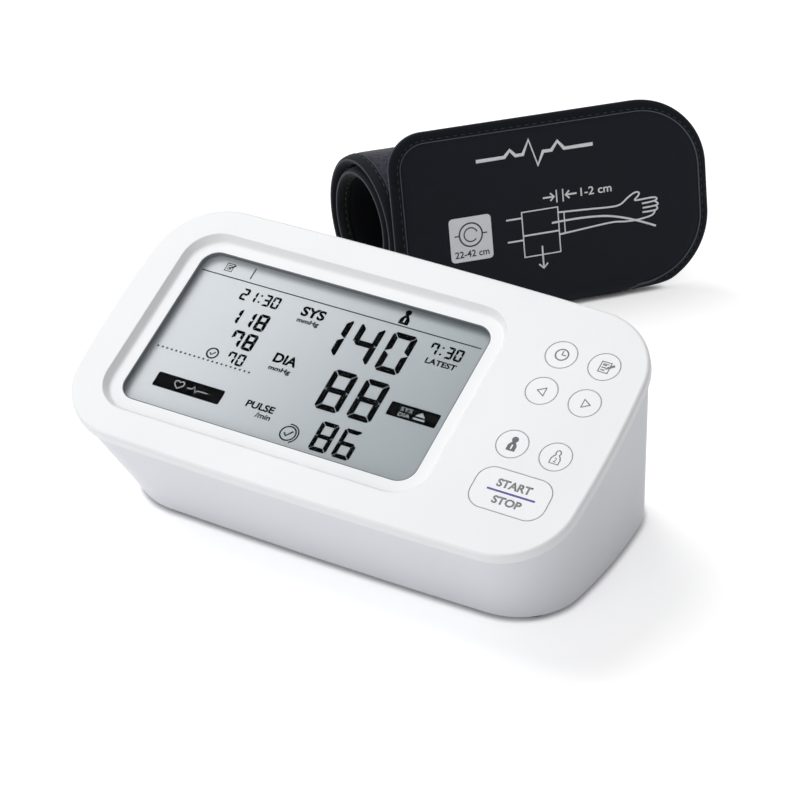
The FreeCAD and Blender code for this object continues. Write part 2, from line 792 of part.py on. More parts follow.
def build_buttons():
    """Seven flush caps, each with a flange under the plate and a stem over its switch."""
    caps = []
    cap_foot = "0 - flange_depth"
    flange_foot = "0 - flange_depth - flange_thick"
    stem_foot = "0 - flange_depth - stem_length"
    for name, (x, y) in BUTTONS.items():
        cap = rod(name + "_cap", "button_radius", "flange_depth", x, y, cap_foot)
        flange = rod(name + "_flange", "button_radius + flange_reach", "flange_thick", x, y, flange_foot)
        stem = rod(name + "_stem", "stem_radius", "stem_length", x, y, stem_foot)
        caps.append(joined(name, cap, flange, stem))
    cap_size = ("start_width", "start_length", "start_corner", "flange_depth")
    cap = rounded_plate("start_cap", *cap_size, *START_PLACE, cap_foot)
    flange = rounded_plate(
        "start_flange",
        "start_width + 2 * flange_reach",
        "start_length + 2 * flange_reach",
        "start_corner + flange_reach",
        "flange_thick",
        *START_PLACE,
        flange_foot,
    )
    stem = rod("start_stem", "stem_radius", "stem_length", *START_PLACE, stem_foot)
    caps.append(joined("start_button", cap, flange, stem))
    for cap in caps:
        on_panel(cap)
    return caps


def build_display():
    """Window, liquid crystal glass, the frame round both and the strips that feed the glass."""
    centre = ("recess_x", "recess_lift")
    window = block("display_window", "window_width", "window_length", "window_thick")
    on_panel(window, "recess_x - window_width / 2", "recess_lift - window_length / 2", "0 - lcd_depth")
    glass = block("lcd_panel", "window_width", "window_length", "lcd_thick")
    on_panel(glass, "recess_x - window_width / 2", "recess_lift - window_length / 2", "0 - lip_depth")
    reach = "2 * (frame_wall + part_gap)"
    size_out = ("window_width + " + reach, "window_length + " + reach, "board_depth - window_depth")
    outside = block("frame_block", *size_out, *centre, "0 - board_depth")
    size_in = ("window_width + 2 * part_gap", "window_length + 2 * part_gap", "lip_depth - window_depth")
    inside = block("frame_bed", *size_in, *centre, "0 - lip_depth")
    size_open = ("window_width - 2 * frame_ledge", "window_length - 2 * frame_ledge", "frame_lip")
    opening = block("frame_opening", *size_open, *centre, "0 - board_depth")
    frame = less("lcd_frame", outside, inside, opening)
    on_panel(frame)
    strips = []
    for side, sign in (("front", "-"), ("back", "+")):
        y = "recess_lift %s (window_length / 2 - strip_inset)" % sign
        strip = ("window_width - 2 * strip_inset", "strip_width", "frame_lip")
        strips.append(block("strip_" + side, *strip, "recess_x", y, "0 - board_depth"))
    feed = group("lcd_connectors", *strips)
    on_panel(feed)
    return [window, glass, frame, feed]


def build_board():
    """Circuit board with switches, its screws and the pressure sensor on its under side."""
    board_y = "(board_front + board_back) / 2"
    under = "0 - board_depth - board_thick"
    slab = block("board_slab", "board_width", "board_back - board_front", "board_thick", "0", board_y, under)
    holes = []
    screws = []
    for index, (x, y) in enumerate(BOARD_POSTS):
        hole = ("board_screw_radius + part_gap", "board_thick", x, y, under)
        holes.append(rod("board_hole_%d" % index, *hole))
        shank = ("board_screw_radius", "board_screw_length + board_thick - part_gap", x, y, under)
        head = ("board_head_radius", "board_head_height", x, y, under + " - board_head_height")
        screw = "board_screw_%d" % index
        screws.append(joined(screw, rod(screw + "_shank", *shank), rod(screw + "_head", *head)))
    board = less("main_board", slab, *holes)
    fixings = group("board_screws", *screws)
    switches = []
    for index, (x, y) in enumerate([*BUTTONS.values(), START_PLACE]):
        switch = "switch_%d" % index
        base = block(switch + "_base", "switch_width", "switch_width", "switch_body", x, y, "0 - board_depth")
        plunger = ("plunger_radius", "plunger_height", x, y, "switch_body - board_depth")
        switches.append(joined(switch, base, rod(switch + "_plunger", *plunger)))
    keys = group("tact_switches", *switches)
    sensor_y = "0 - sensor_back"
    foot = under + " - sensor_height"
    can = block("sensor_can", "sensor_width", "sensor_width", "sensor_height", "bay_x", sensor_y, foot)
    nipple = rod("sensor_barb", "barb_radius", "barb_length", "bay_x", sensor_y, foot + " - barb_length")
    sensor = joined("pressure_sensor", can, nipple)
    for item in (board, fixings, keys, sensor):
        on_panel(item)
    return [board, fixings, keys, sensor]


def build_fasteners():
    """Case screws up the two columns and the rubber feet."""
    screws = []
    feet = []
    shoulder = "column_top - shoulder_height"
    for index, side in enumerate(("0 - ", "")):
        screw = "case_screw_%d" % index
        x = side + "column_x"
        shank = ("screw_radius", "shoulder_height + screw_length - part_gap", x, "column_back", shoulder)
        head = ("screw_head_radius", "screw_head_height", x, "column_back", shoulder + " - screw_head_height")
        screws.append(joined(screw, rod(screw + "_shank", *shank), rod(screw + "_head", *head)))
        for y in ("foot_front", "foot_back"):
            foot = ("foot_radius", "foot_height + foot_sink", side + "foot_x", y)
            feet.append(rod("%s_%d" % (y, index), *foot))
    return [group("case_screws", *screws), group("rubber_feet", *feet)]


def build_battery():
    """Four cells, their contacts and coil springs, and the cover that swings from its front edge."""
    cells = []
    contacts = []
    coils = []
    rear = "bay_back - contact_thick"
    spring_length = size("bay_end_gap") - size("contact_thick")
    for index in range(CELL_COUNT):
        x = "bay_x + cell_pitch * (%d - %d) / 2" % (2 * index, CELL_COUNT - 1)
        flipped = index % 2
        start = "bay_front + bay_end_gap" + (" + cell_nub_length" if flipped else "")
        can = rod_back("cell_%d_can" % index, "cell_radius", "cell_length", x, start, "cell_height")
        nub_at = "bay_front + bay_end_gap" if flipped else start + " + cell_length"
        nub = rod_back("cell_%d_nub" % index, "cell_nub_radius", "cell_nub_length", x, nub_at, "cell_height")
        cells.append(joined("cell_%d" % index, can, nub))
        for end, y in (("front", "bay_front"), ("rear", rear)):
            plate = ("cell_pitch - bay_side_gap", "contact_thick", "contact_height")
            seat = (x, y + " + contact_thick / 2", "cell_height - contact_height / 2")
            contacts.append(block("contact_%s_%d" % (end, index), *plate, *seat))
        direction = -BACK if flipped else BACK
        near = formula_value(rear if flipped else "bay_front + contact_thick")
        place = Vector(formula_value(x), near, size("cell_height"))
        coils.append(coil(place, direction, spring_length))
    spring = doc.addObject("Part::Feature", "battery_springs")
    spring.Shape = Part.makeCompound(coils)
    return [group("battery_cells", *cells), group("battery_contacts", *contacts), spring, build_cover()]


def coil(place, direction, length):
    """One round-wire spring between a contact and the end of a cell."""
    wire = size("spring_wire")
    rise = length - 2 * wire
    helix = Part.makeHelix(rise / size("spring_turns"), rise, size("spring_radius"))
    helix.translate(UP * wire)
    start = helix.Edges[0].valueAt(helix.Edges[0].FirstParameter)
    tangent = helix.Edges[0].tangentAt(helix.Edges[0].FirstParameter)
    ring = Part.Wire([Part.makeCircle(wire, start, tangent)])
    solid = Part.Wire(helix.Edges).makePipeShell([ring], True, True)
    return solid.transformed(Placement(place, Rotation(UP, direction)).toMatrix())


def build_cover():
    """Battery cover with two tabs over the floor's edge, a latch arm and a finger scoop."""
    cover_y = "0 - bay_shift"
    plate = ("cover_width", "cover_length", "cover_thick", "bay_x", cover_y, "foot_height")
    pieces = [block("cover_plate", *plate)]
    web_y = "cover_front + tab_web / 2 + cover_gap"
    lip_y = "cover_front + cover_gap + (tab_web - tab_reach) / 2"
    for index, x in enumerate(("bay_x - tab_spread", "bay_x + tab_spread")):
        web = ("tab_width", "tab_web", "tub_floor + tab_lift + tab_thick", x, web_y, "foot_height")
        lip = ("tab_width", "tab_web + tab_reach", "tab_thick", x, lip_y, "floor_top + tab_lift")
        pieces.append(block("tab_web_%d" % index, *web))
        pieces.append(block("tab_lip_%d" % index, *lip))
    latch_y = "bay_back - cover_gap - latch_thick / 2"
    latch = ("latch_width", "latch_thick", "tub_floor + latch_height", "bay_x", latch_y, "foot_height")
    pieces.append(block("latch_arm", *latch))
    scoop_y = "cover_front + cover_length"
    scoop = rod("finger_scoop", "grip_radius", "grip_depth", "bay_x", scoop_y, "foot_height")
    return less("battery_cover", joined("cover_body", *pieces), scoop)


def build_air_path():
    """Pump, valve, manifold, sockets and the soft tubes between them."""
    pump_y = "0 - pump_start"
    motor = rod_back("pump_motor", "motor_radius", "motor_length", "pump_x", pump_y, "pump_height")
    head_y = "motor_length - pump_start"
    can = rod_back("head_can", "head_radius", "head_length", "pump_x", head_y, "pump_height")
    outlet = ("barb_radius", "barb_length", "pump_x", head_y + " + head_length", "pump_height")
    head = joined("pump_head", can, rod_back("head_barb", *outlet))
    pad_size = ("2 * (head_radius + cradle_side)", "cradle_length", "cradle_height + head_radius / 2")
    pad_block = block("cradle_block", *pad_size, "pump_x", "motor_length - pump_start", "floor_top")
    motor_bed = rod_back("motor_bed", "motor_radius", "motor_length", "pump_x", pump_y, "pump_height")
    head_bed = rod_back("head_bed", "head_radius", "head_length", "pump_x", head_y, "pump_height")
    cradle = less("pump_cradle", pad_block, motor_bed, head_bed)
    valve_y = "0 - valve_front"
    valve_size = ("valve_width", "valve_length", "valve_height")
    valve_box = block("valve_box", *valve_size, "valve_x", valve_y, "manifold_floor")
    barb_at = ("valve_x", "valve_length / 2 - valve_front", "manifold_floor + valve_height / 2")
    valve = joined("exhaust_valve", valve_box, rod_back("valve_barb", "barb_radius", "barb_length", *barb_at))
    body_size = ("manifold_width", "manifold_length", "manifold_height")
    body = block("manifold_body", *body_size, "bay_x", "manifold_back", "manifold_floor")
    reach = "manifold_width + 2 * barb_length"
    left = "bay_x - manifold_width / 2 - barb_length"
    through = ("barb_radius", reach, left, "manifold_back + barb_spread / 2", "barb_height")
    side_y = "manifold_back - barb_spread / 2"
    side = ("barb_radius", "barb_length + manifold_width / 2", left, side_y, "barb_height")
    front_y = "manifold_back - manifold_length / 2 - barb_length"
    ahead = ("barb_radius", "barb_length + manifold_length / 2", "bay_x", front_y, "barb_height")
    barbs = [rod_right("through_barbs", *through), rod_right("side_barb", *side)]
    barbs.append(rod_back("front_barb", *ahead))
    manifold = joined("air_manifold", body, *barbs)
    return [motor, head, cradle, valve, manifold, *build_sockets(), build_tubes()]


def build_sockets():
    """The cuff's air socket in the left wall and the power socket in the back wall."""
    face = "0 - jack_face"
    at = ("jack_back", "jack_height")
    barrel = rod_right("jack_barrel", "jack_radius", "jack_length", face, *at)
    collar_x = "0 - jack_face + jack_length - jack_flange_thick"
    collar = rod_right("jack_collar", "jack_flange_radius", "jack_flange_thick", collar_x, *at)
    nipple = rod_right("jack_barb", "barb_radius", "barb_length", "0 - jack_inside", *at)
    bore = rod_right("jack_bore_void", "jack_bore", "jack_bore_depth", face, *at)
    air = less("air_jack", joined("jack_body", barrel, collar, nipple), bore)
    start = ("power_x", "power_face - power_length", "power_height")
    shell = rod_back("power_shell", "power_radius", "power_length", *start)
    mouth = ("power_x", "power_face - power_bore_depth", "power_height")
    socket = less("power_socket", shell, rod_back("power_mouth", "power_bore", "power_bore_depth", *mouth))
    pin = rod_back("power_pin", "power_pin_radius", "power_bore_depth - jack_proud", *mouth)
    return [air, joined("dc_jack", socket, pin)]


def tube(points, start_way, end_way):
    """A hollow tube: straight over the barb at each end and a smooth route between them."""
    lead = size("barb_length")
    first = points[0] + start_way * lead
    last = points[-1] - end_way * lead
    route = Part.BSplineCurve()
    route.interpolate(Points=[first, *points[1:-1], last], InitialTangent=start_way, FinalTangent=end_way)
    spine = Part.Wire([Part.makeLine(points[0], first), route.toShape(), Part.makeLine(last, points[-1])])
    skins = []
    for radius in (size("tube_radius"), size("barb_radius") + size("tube_fit")):
        ring = Part.Wire([Part.makeCircle(radius, points[0], start_way)])
        skins.append(spine.makePipeShell([ring], True, True))
    return skins[0].cut(skins[1])


def build_tubes():
    """Four air tubes from the manifold to the pump, the valve, the sensor and the cuff socket."""
    tilt = math.radians(size("panel_tilt"))
    down = Vector(0, math.sin(tilt), -math.cos(tilt))
    slope = Vector(0, math.cos(tilt), math.sin(tilt))
    gap = size("part_gap")
    middle = Vector(size("bay_x"), size("manifold_back"), size("barb_height"))
    edge = RIGHT * (size("manifold_width") / 2 + gap)
    spread = BACK * (size("barb_spread") / 2)
    pump_y = size("motor_length") - size("pump_start") + size("head_length") + gap
    pump_end = Vector(size("pump_x"), pump_y, size("pump_height"))
    turn = size("tube_turn")
    between = (size("pump_height") + size("barb_height")) / 2
    pump_turn = Vector(size("pump_x") + turn, pump_y + size("barb_length") + turn, between)
    valve_y = size("valve_length") / 2 - size("valve_front") + gap
    valve_end = Vector(size("valve_x"), valve_y, size("manifold_floor") + size("valve_height") / 2)
    jack_end = Vector(gap - size("jack_inside"), size("jack_back"), size("jack_height"))
    over_pump = size("pump_height") + size("head_radius") + size("tube_bend") / 2
    beside_bay = size("pump_x") + size("head_radius")
    jack_rise = Vector(beside_bay, size("manifold_back") / 2, (over_pump + size("barb_height")) / 2)
    jack_turn = Vector(size("pump_x"), size("jack_back"), over_pump)
    beside_pump = size("pump_x") - size("head_radius") - size("tube_space")
    jack_fall = Vector(beside_pump, size("jack_back"), (over_pump + size("jack_height")) / 2)
    sensor_depth = size("board_depth") + size("board_thick") + size("sensor_height") + gap
    panel = Vector(0, -size("panel_setback"), size("panel_rise"))
    sensor_end = panel + RIGHT * size("bay_x") - slope * size("sensor_back") + down * sensor_depth
    front = middle - BACK * (size("manifold_length") / 2 + gap)
    tubes = [
        tube([middle - edge + spread, pump_turn, pump_end], -RIGHT, -BACK),
        tube([middle + edge + spread, valve_end], RIGHT, -BACK),
        tube([middle - edge - spread, jack_rise, jack_turn, jack_fall, jack_end], -RIGHT, -RIGHT),
        tube([front, sensor_end], -BACK, -down),
    ]
    item = doc.addObject("Part::Feature", "air_tubes")
    item.Shape = Part.makeCompound(tubes)
    return item


def band_route():
    """The wound band's middle line as straight runs and left-hand arcs, from the free end inwards."""
    half = size("band_thick") / 2
    lean = math.radians(size("flap_lean"))
    fold = size("fold_radius")
    pitch = size("band_pitch")
    outer = size("roll_radius")
    run = (size("flap_height") - half - fold * (1 + math.sin(lean))) / math.cos(lean)
    roll_height = half + outer
    front_radius = outer - pitch / 2
    front_centre = size("roll_foot") + pitch / TURN_QUARTERS
    line_at_roll = front_centre - (front_radius + pitch) / math.cos(lean)
    line_at_fold = line_at_roll - (roll_height - half - fold) * math.tan(lean)
    fold_centre = line_at_fold + fold / math.cos(lean)
    quarter = math.pi / 2
    step = pitch / TURN_QUARTERS
    route = [(run, 0.0), (fold, quarter + lean), (size("roll_foot") - fold_centre, 0.0)]
    route += [(outer - step * turn, quarter) for turn in range(ROLL_QUARTERS)]
    route.append((outer - step * ROLL_QUARTERS, math.radians(size("tail_angle"))))
    start = Vector(fold_centre - fold * math.cos(lean), half + fold * (1 + math.sin(lean)), 0)
    start += Vector(math.sin(lean), math.cos(lean), 0) * run
    return start, -quarter - lean, route


def band_length():
    """Length of the whole band along its middle line."""
    return sum(reach * turn if turn else reach for reach, turn in band_route()[2])


def turned(arm, turn):
    """A flat arm turned to the left by an angle in radians."""
    return Rotation(UP, math.degrees(turn)).multVec(arm)


def side_curve(offset, first, last):
    """One face of a band layer between two distances along the band, as flat curves."""
    place, heading, route = band_route()
    curves = []
    walked = 0.0
    for reach, turn in route:
        length = reach * turn if turn else reach
        begin = max(first - walked, 0.0) / length
        end = min(last - walked, length) / length
        ahead = Vector(math.cos(heading), math.sin(heading), 0)
        inward = Vector(-math.sin(heading), math.cos(heading), 0)
        centre = place + inward * reach
        if begin < end and turn:
            arm = inward * (offset - reach)
            stops = (begin, (begin + end) / 2, end)
            curves.append(Part.Arc(*[centre + turned(arm, turn * share) for share in stops]))
        elif begin < end:
            base = place + inward * offset
            curves.append(Part.LineSegment(base + ahead * (reach * begin), base + ahead * (reach * end)))
        place = centre - turned(inward * reach, turn) if turn else place + ahead * reach
        heading += turn
        walked += length
    return curves


def cuff_frame():
    """The wound band's own frame: the left end's corner, its depth, its height and its run."""
    heading = math.radians(size("cuff_heading"))
    skew = math.radians(size("cuff_skew"))
    along = Vector(math.cos(heading), math.sin(heading), 0)
    deep = Vector(-math.sin(heading + skew), math.cos(heading + skew), 0)
    corner = Vector(size("cuff_x"), size("cuff_y"), 0) - along * size("cuff_left")
    return corner, along, deep


def layer(outer, inner, first, last, left_inset, right_inset):
    """A solid layer of the band between two depths, two lengths and two end insets."""
    out_curves = side_curve(outer, first, last)
    in_curves = side_curve(inner, first, last)
    edges = [curve.toShape() for curve in out_curves]
    edges.append(Part.LineSegment(out_curves[-1].EndPoint, in_curves[-1].EndPoint).toShape())
    edges += [curve.toShape() for curve in reversed(in_curves)]
    edges.append(Part.LineSegment(in_curves[0].StartPoint, out_curves[0].StartPoint).toShape())
    wire = Part.Wire(Part.__sortEdges__(edges))
    corner, along, deep = cuff_frame()
    matrix = FreeCAD.Matrix()
    for column, axis in enumerate((deep, UP, deep.cross(UP))):
        for index, value in enumerate(axis):
            matrix.A = [*matrix.A[: 4 * index + column], value, *matrix.A[4 * index + column + 1 :]]
    face = Part.Face(wire).transformGeometry(matrix)
    face.translate(corner + along * left_inset)
    return face.extrude(along * (size("cuff_width") - left_inset - right_inset))


def flap_corners(inset):
    """Two cutters that round the free end's upper corners, drawn in from its edge."""
    start, heading, route = band_route()
    corner, along, deep = cuff_frame()
    lean = math.radians(size("flap_lean"))
    rise = deep * math.sin(lean) + UP * math.cos(lean)
    out = deep * math.cos(lean) - UP * math.sin(lean)
    top = corner + deep * start.x + UP * start.y - rise * inset
    thick = out * size("band_thick")
    cutters = []
    width = size("cuff_width")
    for edge, inward, radius in (
        (top + along * inset, along, size("flap_corner_left") - inset),
        (top + along * (width - inset), -along, size("flap_corner_right") - inset),
    ):
        far = edge + inward * radius
        low = edge - rise * radius
        bulge = far - rise * radius + (rise - inward) * (radius / math.sqrt(2))
        spare = 2 * size("binding_width")
        outside = [far, far + rise * spare, edge + (rise - inward) * spare, low - inward * spare, low]
        outline = [Part.Arc(low, bulge, far).toShape()]
        outline += [Part.makeLine(one, other) for one, other in zip(outside, outside[1:])]
        face = Part.Face(Part.Wire(Part.__sortEdges__(outline)))
        face.translate(-thick)
        cutters.append(face.extrude(thick * 2))
    return cutters


def flap_foot(inset):
    """A cutter that rounds the free end's lower right corner, where it stands out beyond the roll."""
    start = band_route()[0]
    corner, along, deep = cuff_frame()
    lean = math.radians(size("flap_lean"))
    fall = -deep * math.sin(lean) - UP * math.cos(lean)
    out = deep * math.cos(lean) - UP * math.sin(lean)
    ground = (start.y - size("band_thick") / 2 * math.sin(lean)) / math.cos(lean)
    top = corner + deep * start.x + UP * start.y
    width = size("cuff_width")
    radius = size("flap_corner_low")
    spare = 2 * size("binding_width")
    centre = top + along * (width - radius) + fall * (ground - radius)
    bend = radius - inset
    right = centre + along * bend
    low = centre + fall * bend
    notch = top + along * (width - size("flap_overhang") - inset) + fall * (ground - inset)
    under = fall * (spare + inset)
    beside = along * (spare + inset)
    far = centre + (along + fall) * radius + fall * spare + beside
    outside = [low, notch, notch + under, far, right + beside, right]
    outline = [Part.Arc(right, centre + (along + fall) * (bend / math.sqrt(2)), low).toShape()]
    outline += [Part.makeLine(one, other) for one, other in zip(outside, outside[1:])]
    face = Part.Face(Part.Wire(Part.__sortEdges__(outline)))
    thick = out * size("band_thick")
    face.translate(-thick)
    return face.extrude(thick * 2 + out * (2 * size("fold_radius")))


def trimmed(shape, inset):
    """A layer of the free end with its corners rounded off."""
    for cutter in [*flap_corners(inset), flap_foot(inset)]:
        shape = shape.cut(cutter)
    return shape


def flap_length():
    """Distance along the band from the free end to the end of the fold."""
    run, fold = band_route()[2][:2]
    return run[0] + fold[0] * fold[1]


def banded(outer, inner, first, last, inset):
    """A layer of the band from its free end inwards, whose free end is wider than the roll."""
    turn = flap_length()
    flap = trimmed(layer(outer, inner, first, turn, inset, inset), inset)
    return flap.fuse(layer(outer, inner, turn, last, inset, inset + size("flap_overhang"))).removeSplitter()


def build_cuff():
    """The wound band: cloths, bladder, curler, sewn edge tape, hook patch and tube port."""
    half = size("band_thick") / 2
    edge = size("binding_width")
    whole = band_length()
    cloth = size("cloth_thick")
    under_cloth = -half + cloth
    under_curler = under_cloth + size("curler_thick")
    over_lining = half - cloth
    seam = size("print_run")
    spare = size("band_clearance") / 4
    core = banded(-half - spare, half + spare, edge, whole - edge, edge)
    over = size("flap_overhang")
    inset = size("bladder_inset")
    first = size("bladder_start")
    last = whole - size("bladder_end")
    patch_first = size("hook_patch_start")
    patch_last = patch_first + size("hook_patch_run")
    patch_inset = size("hook_patch_inset")
    patch_face = half + size("hook_patch_thick")
    shapes = {
        "cuff_print_panel": banded(-half, under_cloth, edge, seam, edge),
        "cuff_loop_cloth": layer(-half, under_cloth, seam, whole - edge, edge, edge + over),
        "cuff_inner_cloth": banded(over_lining, half, edge, whole - edge, edge),
        "cuff_curler": layer(under_cloth, under_curler, first, last, inset, inset + over),
        "cuff_bladder": layer(under_curler, over_lining, first, last, inset, inset + over),
        "cuff_binding": banded(-half, half, 0.0, whole, 0.0).cut(core),
        "cuff_hook_patch": layer(half, patch_face, patch_first, patch_last, patch_inset, patch_inset),
        "cuff_tube_port": tube_port(),
    }
    items = []
    for name, shape in shapes.items():
        item = doc.addObject("Part::Feature", name)
        item.Shape = shape
        items.append(item)
    return items


def tube_port():
    """Round fitting on the back of the roll with a nipple for the air tube."""
    corner, along, deep = cuff_frame()
    out = UP.cross(along)
    half = size("band_thick") / 2
    reach = size("roll_foot") + size("roll_radius") + half
    run = size("cuff_width") - size("port_from_right")
    seat = corner + along * run + deep * reach + UP * (half + size("roll_radius"))
    seat += out * size("tube_fit")
    thick = size("port_thick")
    length = size("port_nipple_length")
    flange = Part.makeCylinder(size("port_radius"), thick, seat, out)
    nipple = Part.makeCylinder(size("tube_radius"), thick + length, seat, out)
    bore = Part.makeCylinder(size("barb_radius"), length, seat + out * thick, out)
    return flange.fuse(nipple).cut(bore)


NODES = [build_top_case(), build_bottom_case(), *build_buttons(), *build_display(), *build_board()]
NODES += [*build_fasteners(), *build_battery(), *build_air_path(), *build_cuff()]
doc.recompute()

faults = []
for item in doc.Objects:
    if any(state in ("Invalid", "Error") for state in item.State):
        faults.append("%s: %s" % (item.Label, item.State))
for item in NODES:
    if item.Shape.isNull() or not item.Shape.isValid() or not item.Shape.Solids:
        faults.append("%s: no valid solid" % item.Label)
if faults:
    raise ValueError("; ".join(faults))

os.makedirs("parts", exist_ok=True)
for item in NODES:
    item.Shape.exportStep("parts/%s.step" % item.Label)
    box = item.Shape.BoundBox
    print("%-18s solids %d  volume %.0f  x %.1f %.1f  y %.1f %.1f  z %.1f %.1f" % (
        item.Label, len(item.Shape.Solids), item.Shape.Volume,
        box.XMin, box.XMax, box.YMin, box.YMax, box.ZMin, box.ZMax,
    ))
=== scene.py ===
"""Looks of an upper-arm blood pressure monitor and its wound arm cuff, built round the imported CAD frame."""

import logging
import math
from dataclasses import dataclass, field
from enum import Enum
from typing import Callable, Sequence

import bmesh
import bpy
from mathutils import Matrix, Vector


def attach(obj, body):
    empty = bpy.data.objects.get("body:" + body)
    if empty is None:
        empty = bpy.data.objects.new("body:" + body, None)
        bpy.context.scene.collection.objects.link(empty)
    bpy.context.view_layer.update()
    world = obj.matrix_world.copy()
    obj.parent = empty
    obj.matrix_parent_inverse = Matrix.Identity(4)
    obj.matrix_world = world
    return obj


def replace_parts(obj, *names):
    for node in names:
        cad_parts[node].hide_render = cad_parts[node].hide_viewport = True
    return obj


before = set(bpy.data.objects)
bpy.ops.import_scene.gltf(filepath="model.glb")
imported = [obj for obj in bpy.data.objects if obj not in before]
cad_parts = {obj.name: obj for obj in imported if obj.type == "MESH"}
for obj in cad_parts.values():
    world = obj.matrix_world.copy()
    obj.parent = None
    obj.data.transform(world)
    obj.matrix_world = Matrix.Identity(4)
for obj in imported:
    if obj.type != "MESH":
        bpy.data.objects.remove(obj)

LOG = logging.getLogger("pressure_monitor")
MM = 0.001
# Thickness of a printed film, in millimetres.
FILM = 0.05
# Distance between the bands of a wave texture of scale 1.
WAVE_PITCH = 2 * math.pi / 20
FULL_TURN = 360.0
Points = Sequence[tuple[float, float]]
Place = Callable[[Vector], Vector]


class Body(Enum):
    """Rigid bodies that carry new pieces, as the record names them."""

    MONITOR = "monitor"
    CLOCK = "clock_key"
    MEMO = "memo_key"
    BACK = "back_key"
    FORWARD = "forward_key"
    USER_ONE = "user_one_key"
    USER_TWO = "user_two_key"
    START = "start_key"
    CUFF = "cuff"


class Side(Enum):
    """The two faces of the cuff's band."""

    OUTER = 1.0
    INNER = -1.0


class Coordinates(Enum):
    """What a pattern is laid out on: the piece in space, in metres, or its own flat map, in millimetres."""

    OBJECT = "Object"
    FLAT = "UV"


def linear(code: str) -> tuple[float, float, float, float]:
    """Turn an sRGB hex colour into linear light.

    Args:
        code: six hex digits.

    Returns:
        Red, green, blue and an alpha of one.
    """
    parts = [int(code[index:index + 2], 16) / 255 for index in (0, 2, 4)]
    light = [part / 12.92 if part <= 0.04045 else ((part + 0.055) / 1.055) ** 2.4 for part in parts]
    return light[0], light[1], light[2], 1.0


def add(
    tree: bpy.types.NodeTree, kind: str, settings: dict | None = None, links: dict | None = None
) -> bpy.types.Node:
    """Add one shader node with its settings and links.

    Args:
        tree: the node tree that gets the node.
        kind: the node's type name, without the word that all shader nodes start with.
        settings: values of the node's properties or of its input sockets.
        links: output sockets that feed its inputs, by input name or number.

    Returns:
        The new node.
    """
    node = tree.nodes.new("ShaderNode" + kind)
    for name, value in (settings or {}).items():
        if isinstance(name, str) and name not in node.inputs:
            setattr(node, name, value)
        else:
            node.inputs[name].default_value = value
    for name, socket in (links or {}).items():
        tree.links.new(socket, node.inputs[name])
    return node


def new_material(name: str) -> tuple[bpy.types.Material, bpy.types.NodeTree]:
    """Start an empty node material.

    Args:
        name: the real material's name.

    Returns:
        The material and its node tree.
    """
    material = bpy.data.materials.new(name)
    material.use_nodes = True
    material.node_tree.nodes.clear()
    return material, material.node_tree


def close_material(tree: bpy.types.NodeTree, shader: bpy.types.Node) -> None:
    """Send a shader to the material's output.

    Args:
        tree: the material's node tree.
        shader: the last shader node.
    """
    add(tree, "OutputMaterial", links={"Surface": shader.outputs[0]})


@dataclass(frozen=True)
class Finish:
    """A finish, named for the real stuff and the way its surface was made."""

    name: str

    def material(self) -> bpy.types.Material:
        """Build the node material.

        Returns:
            The finished material.
        """
        material, tree = new_material(self.name)
        close_material(tree, self.shader(tree))
        return material

    def shader(self, tree: bpy.types.NodeTree) -> bpy.types.Node:
        """Wire the finish's nodes.

        Args:
            tree: the material's node tree.

        Returns:
            The last shader node.
        """
        raise NotImplementedError


@dataclass(frozen=True)
class MouldedPlastic(Finish):
    """Injection-moulded plastic: a fine spark-eroded grain and a faint unevenness of gloss.

    The real grain is under 0.1 mm; it is drawn coarser so that it shows.
    """

    colour: str
    shade: str
    roughness: float = 0.42
    grain: float = 0.35
    gloss: float = 0.5
    relief: float = 0.02
    cloud: float = 45.0

    def shader(self, tree: bpy.types.NodeTree) -> bpy.types.Node:
        """Wire the finish's nodes.

        Args:
            tree: the material's node tree.

        Returns:
            The last shader node.
        """
        place = add(tree, "TexCoord").outputs["Object"]
        cloud = add(tree, "TexNoise", {"Scale": 1 / (self.cloud * MM), "Detail": 3.0}, {"Vector": place})
        grain = add(tree, "TexNoise", {"Scale": 1 / (self.grain * MM), "Detail": 2.0}, {"Vector": place})
        colour = add(
            tree, "Mix",
            {"data_type": "RGBA", 6: linear(self.colour), 7: linear(self.shade)},
            {0: cloud.outputs["Fac"]},
        )
        gloss = add(
            tree, "MapRange",
            {"To Min": self.roughness - 0.06, "To Max": self.roughness + 0.06},
            {"Value": cloud.outputs["Fac"]},
        )
        bump = add(
            tree, "Bump", {"Strength": 0.25, "Distance": self.relief * MM}, {"Height": grain.outputs["Fac"]}
        )
        return add(
            tree, "BsdfPrincipled", {"IOR": 1.53, "Specular IOR Level": self.gloss},
            {"Base Color": colour.outputs[2], "Roughness": gloss.outputs[0], "Normal": bump.outputs[0]},
        )


@dataclass(frozen=True)
class PlatedMetal(Finish):
    """Plated or drawn metal with fine lengthwise draw marks."""

    colour: str
    roughness: float = 0.3
    mark: float = 0.4

    def shader(self, tree: bpy.types.NodeTree) -> bpy.types.Node:
        """Wire the finish's nodes.

        Args:
            tree: the material's node tree.

        Returns:
            The last shader node.
        """
        place = add(tree, "TexCoord").outputs["Object"]
        stretch = add(tree, "Mapping", {"Scale": (1.0, 0.06, 1.0)}, {"Vector": place})
        marks = add(
            tree, "TexNoise", {"Scale": 1 / (self.mark * MM), "Detail": 3.0}, {"Vector": stretch.outputs[0]}
        )
        gloss = add(
            tree, "MapRange",
            {"To Min": self.roughness - 0.1, "To Max": self.roughness + 0.12},
            {"Value": marks.outputs["Fac"]},
        )
        bump = add(
            tree, "Bump", {"Strength": 0.2, "Distance": 0.02 * MM}, {"Height": marks.outputs["Fac"]}
        )
        return add(
            tree, "BsdfPrincipled", {"Base Color": linear(self.colour), "Metallic": 1.0},
            {"Roughness": gloss.outputs[0], "Normal": bump.outputs[0]},
        )


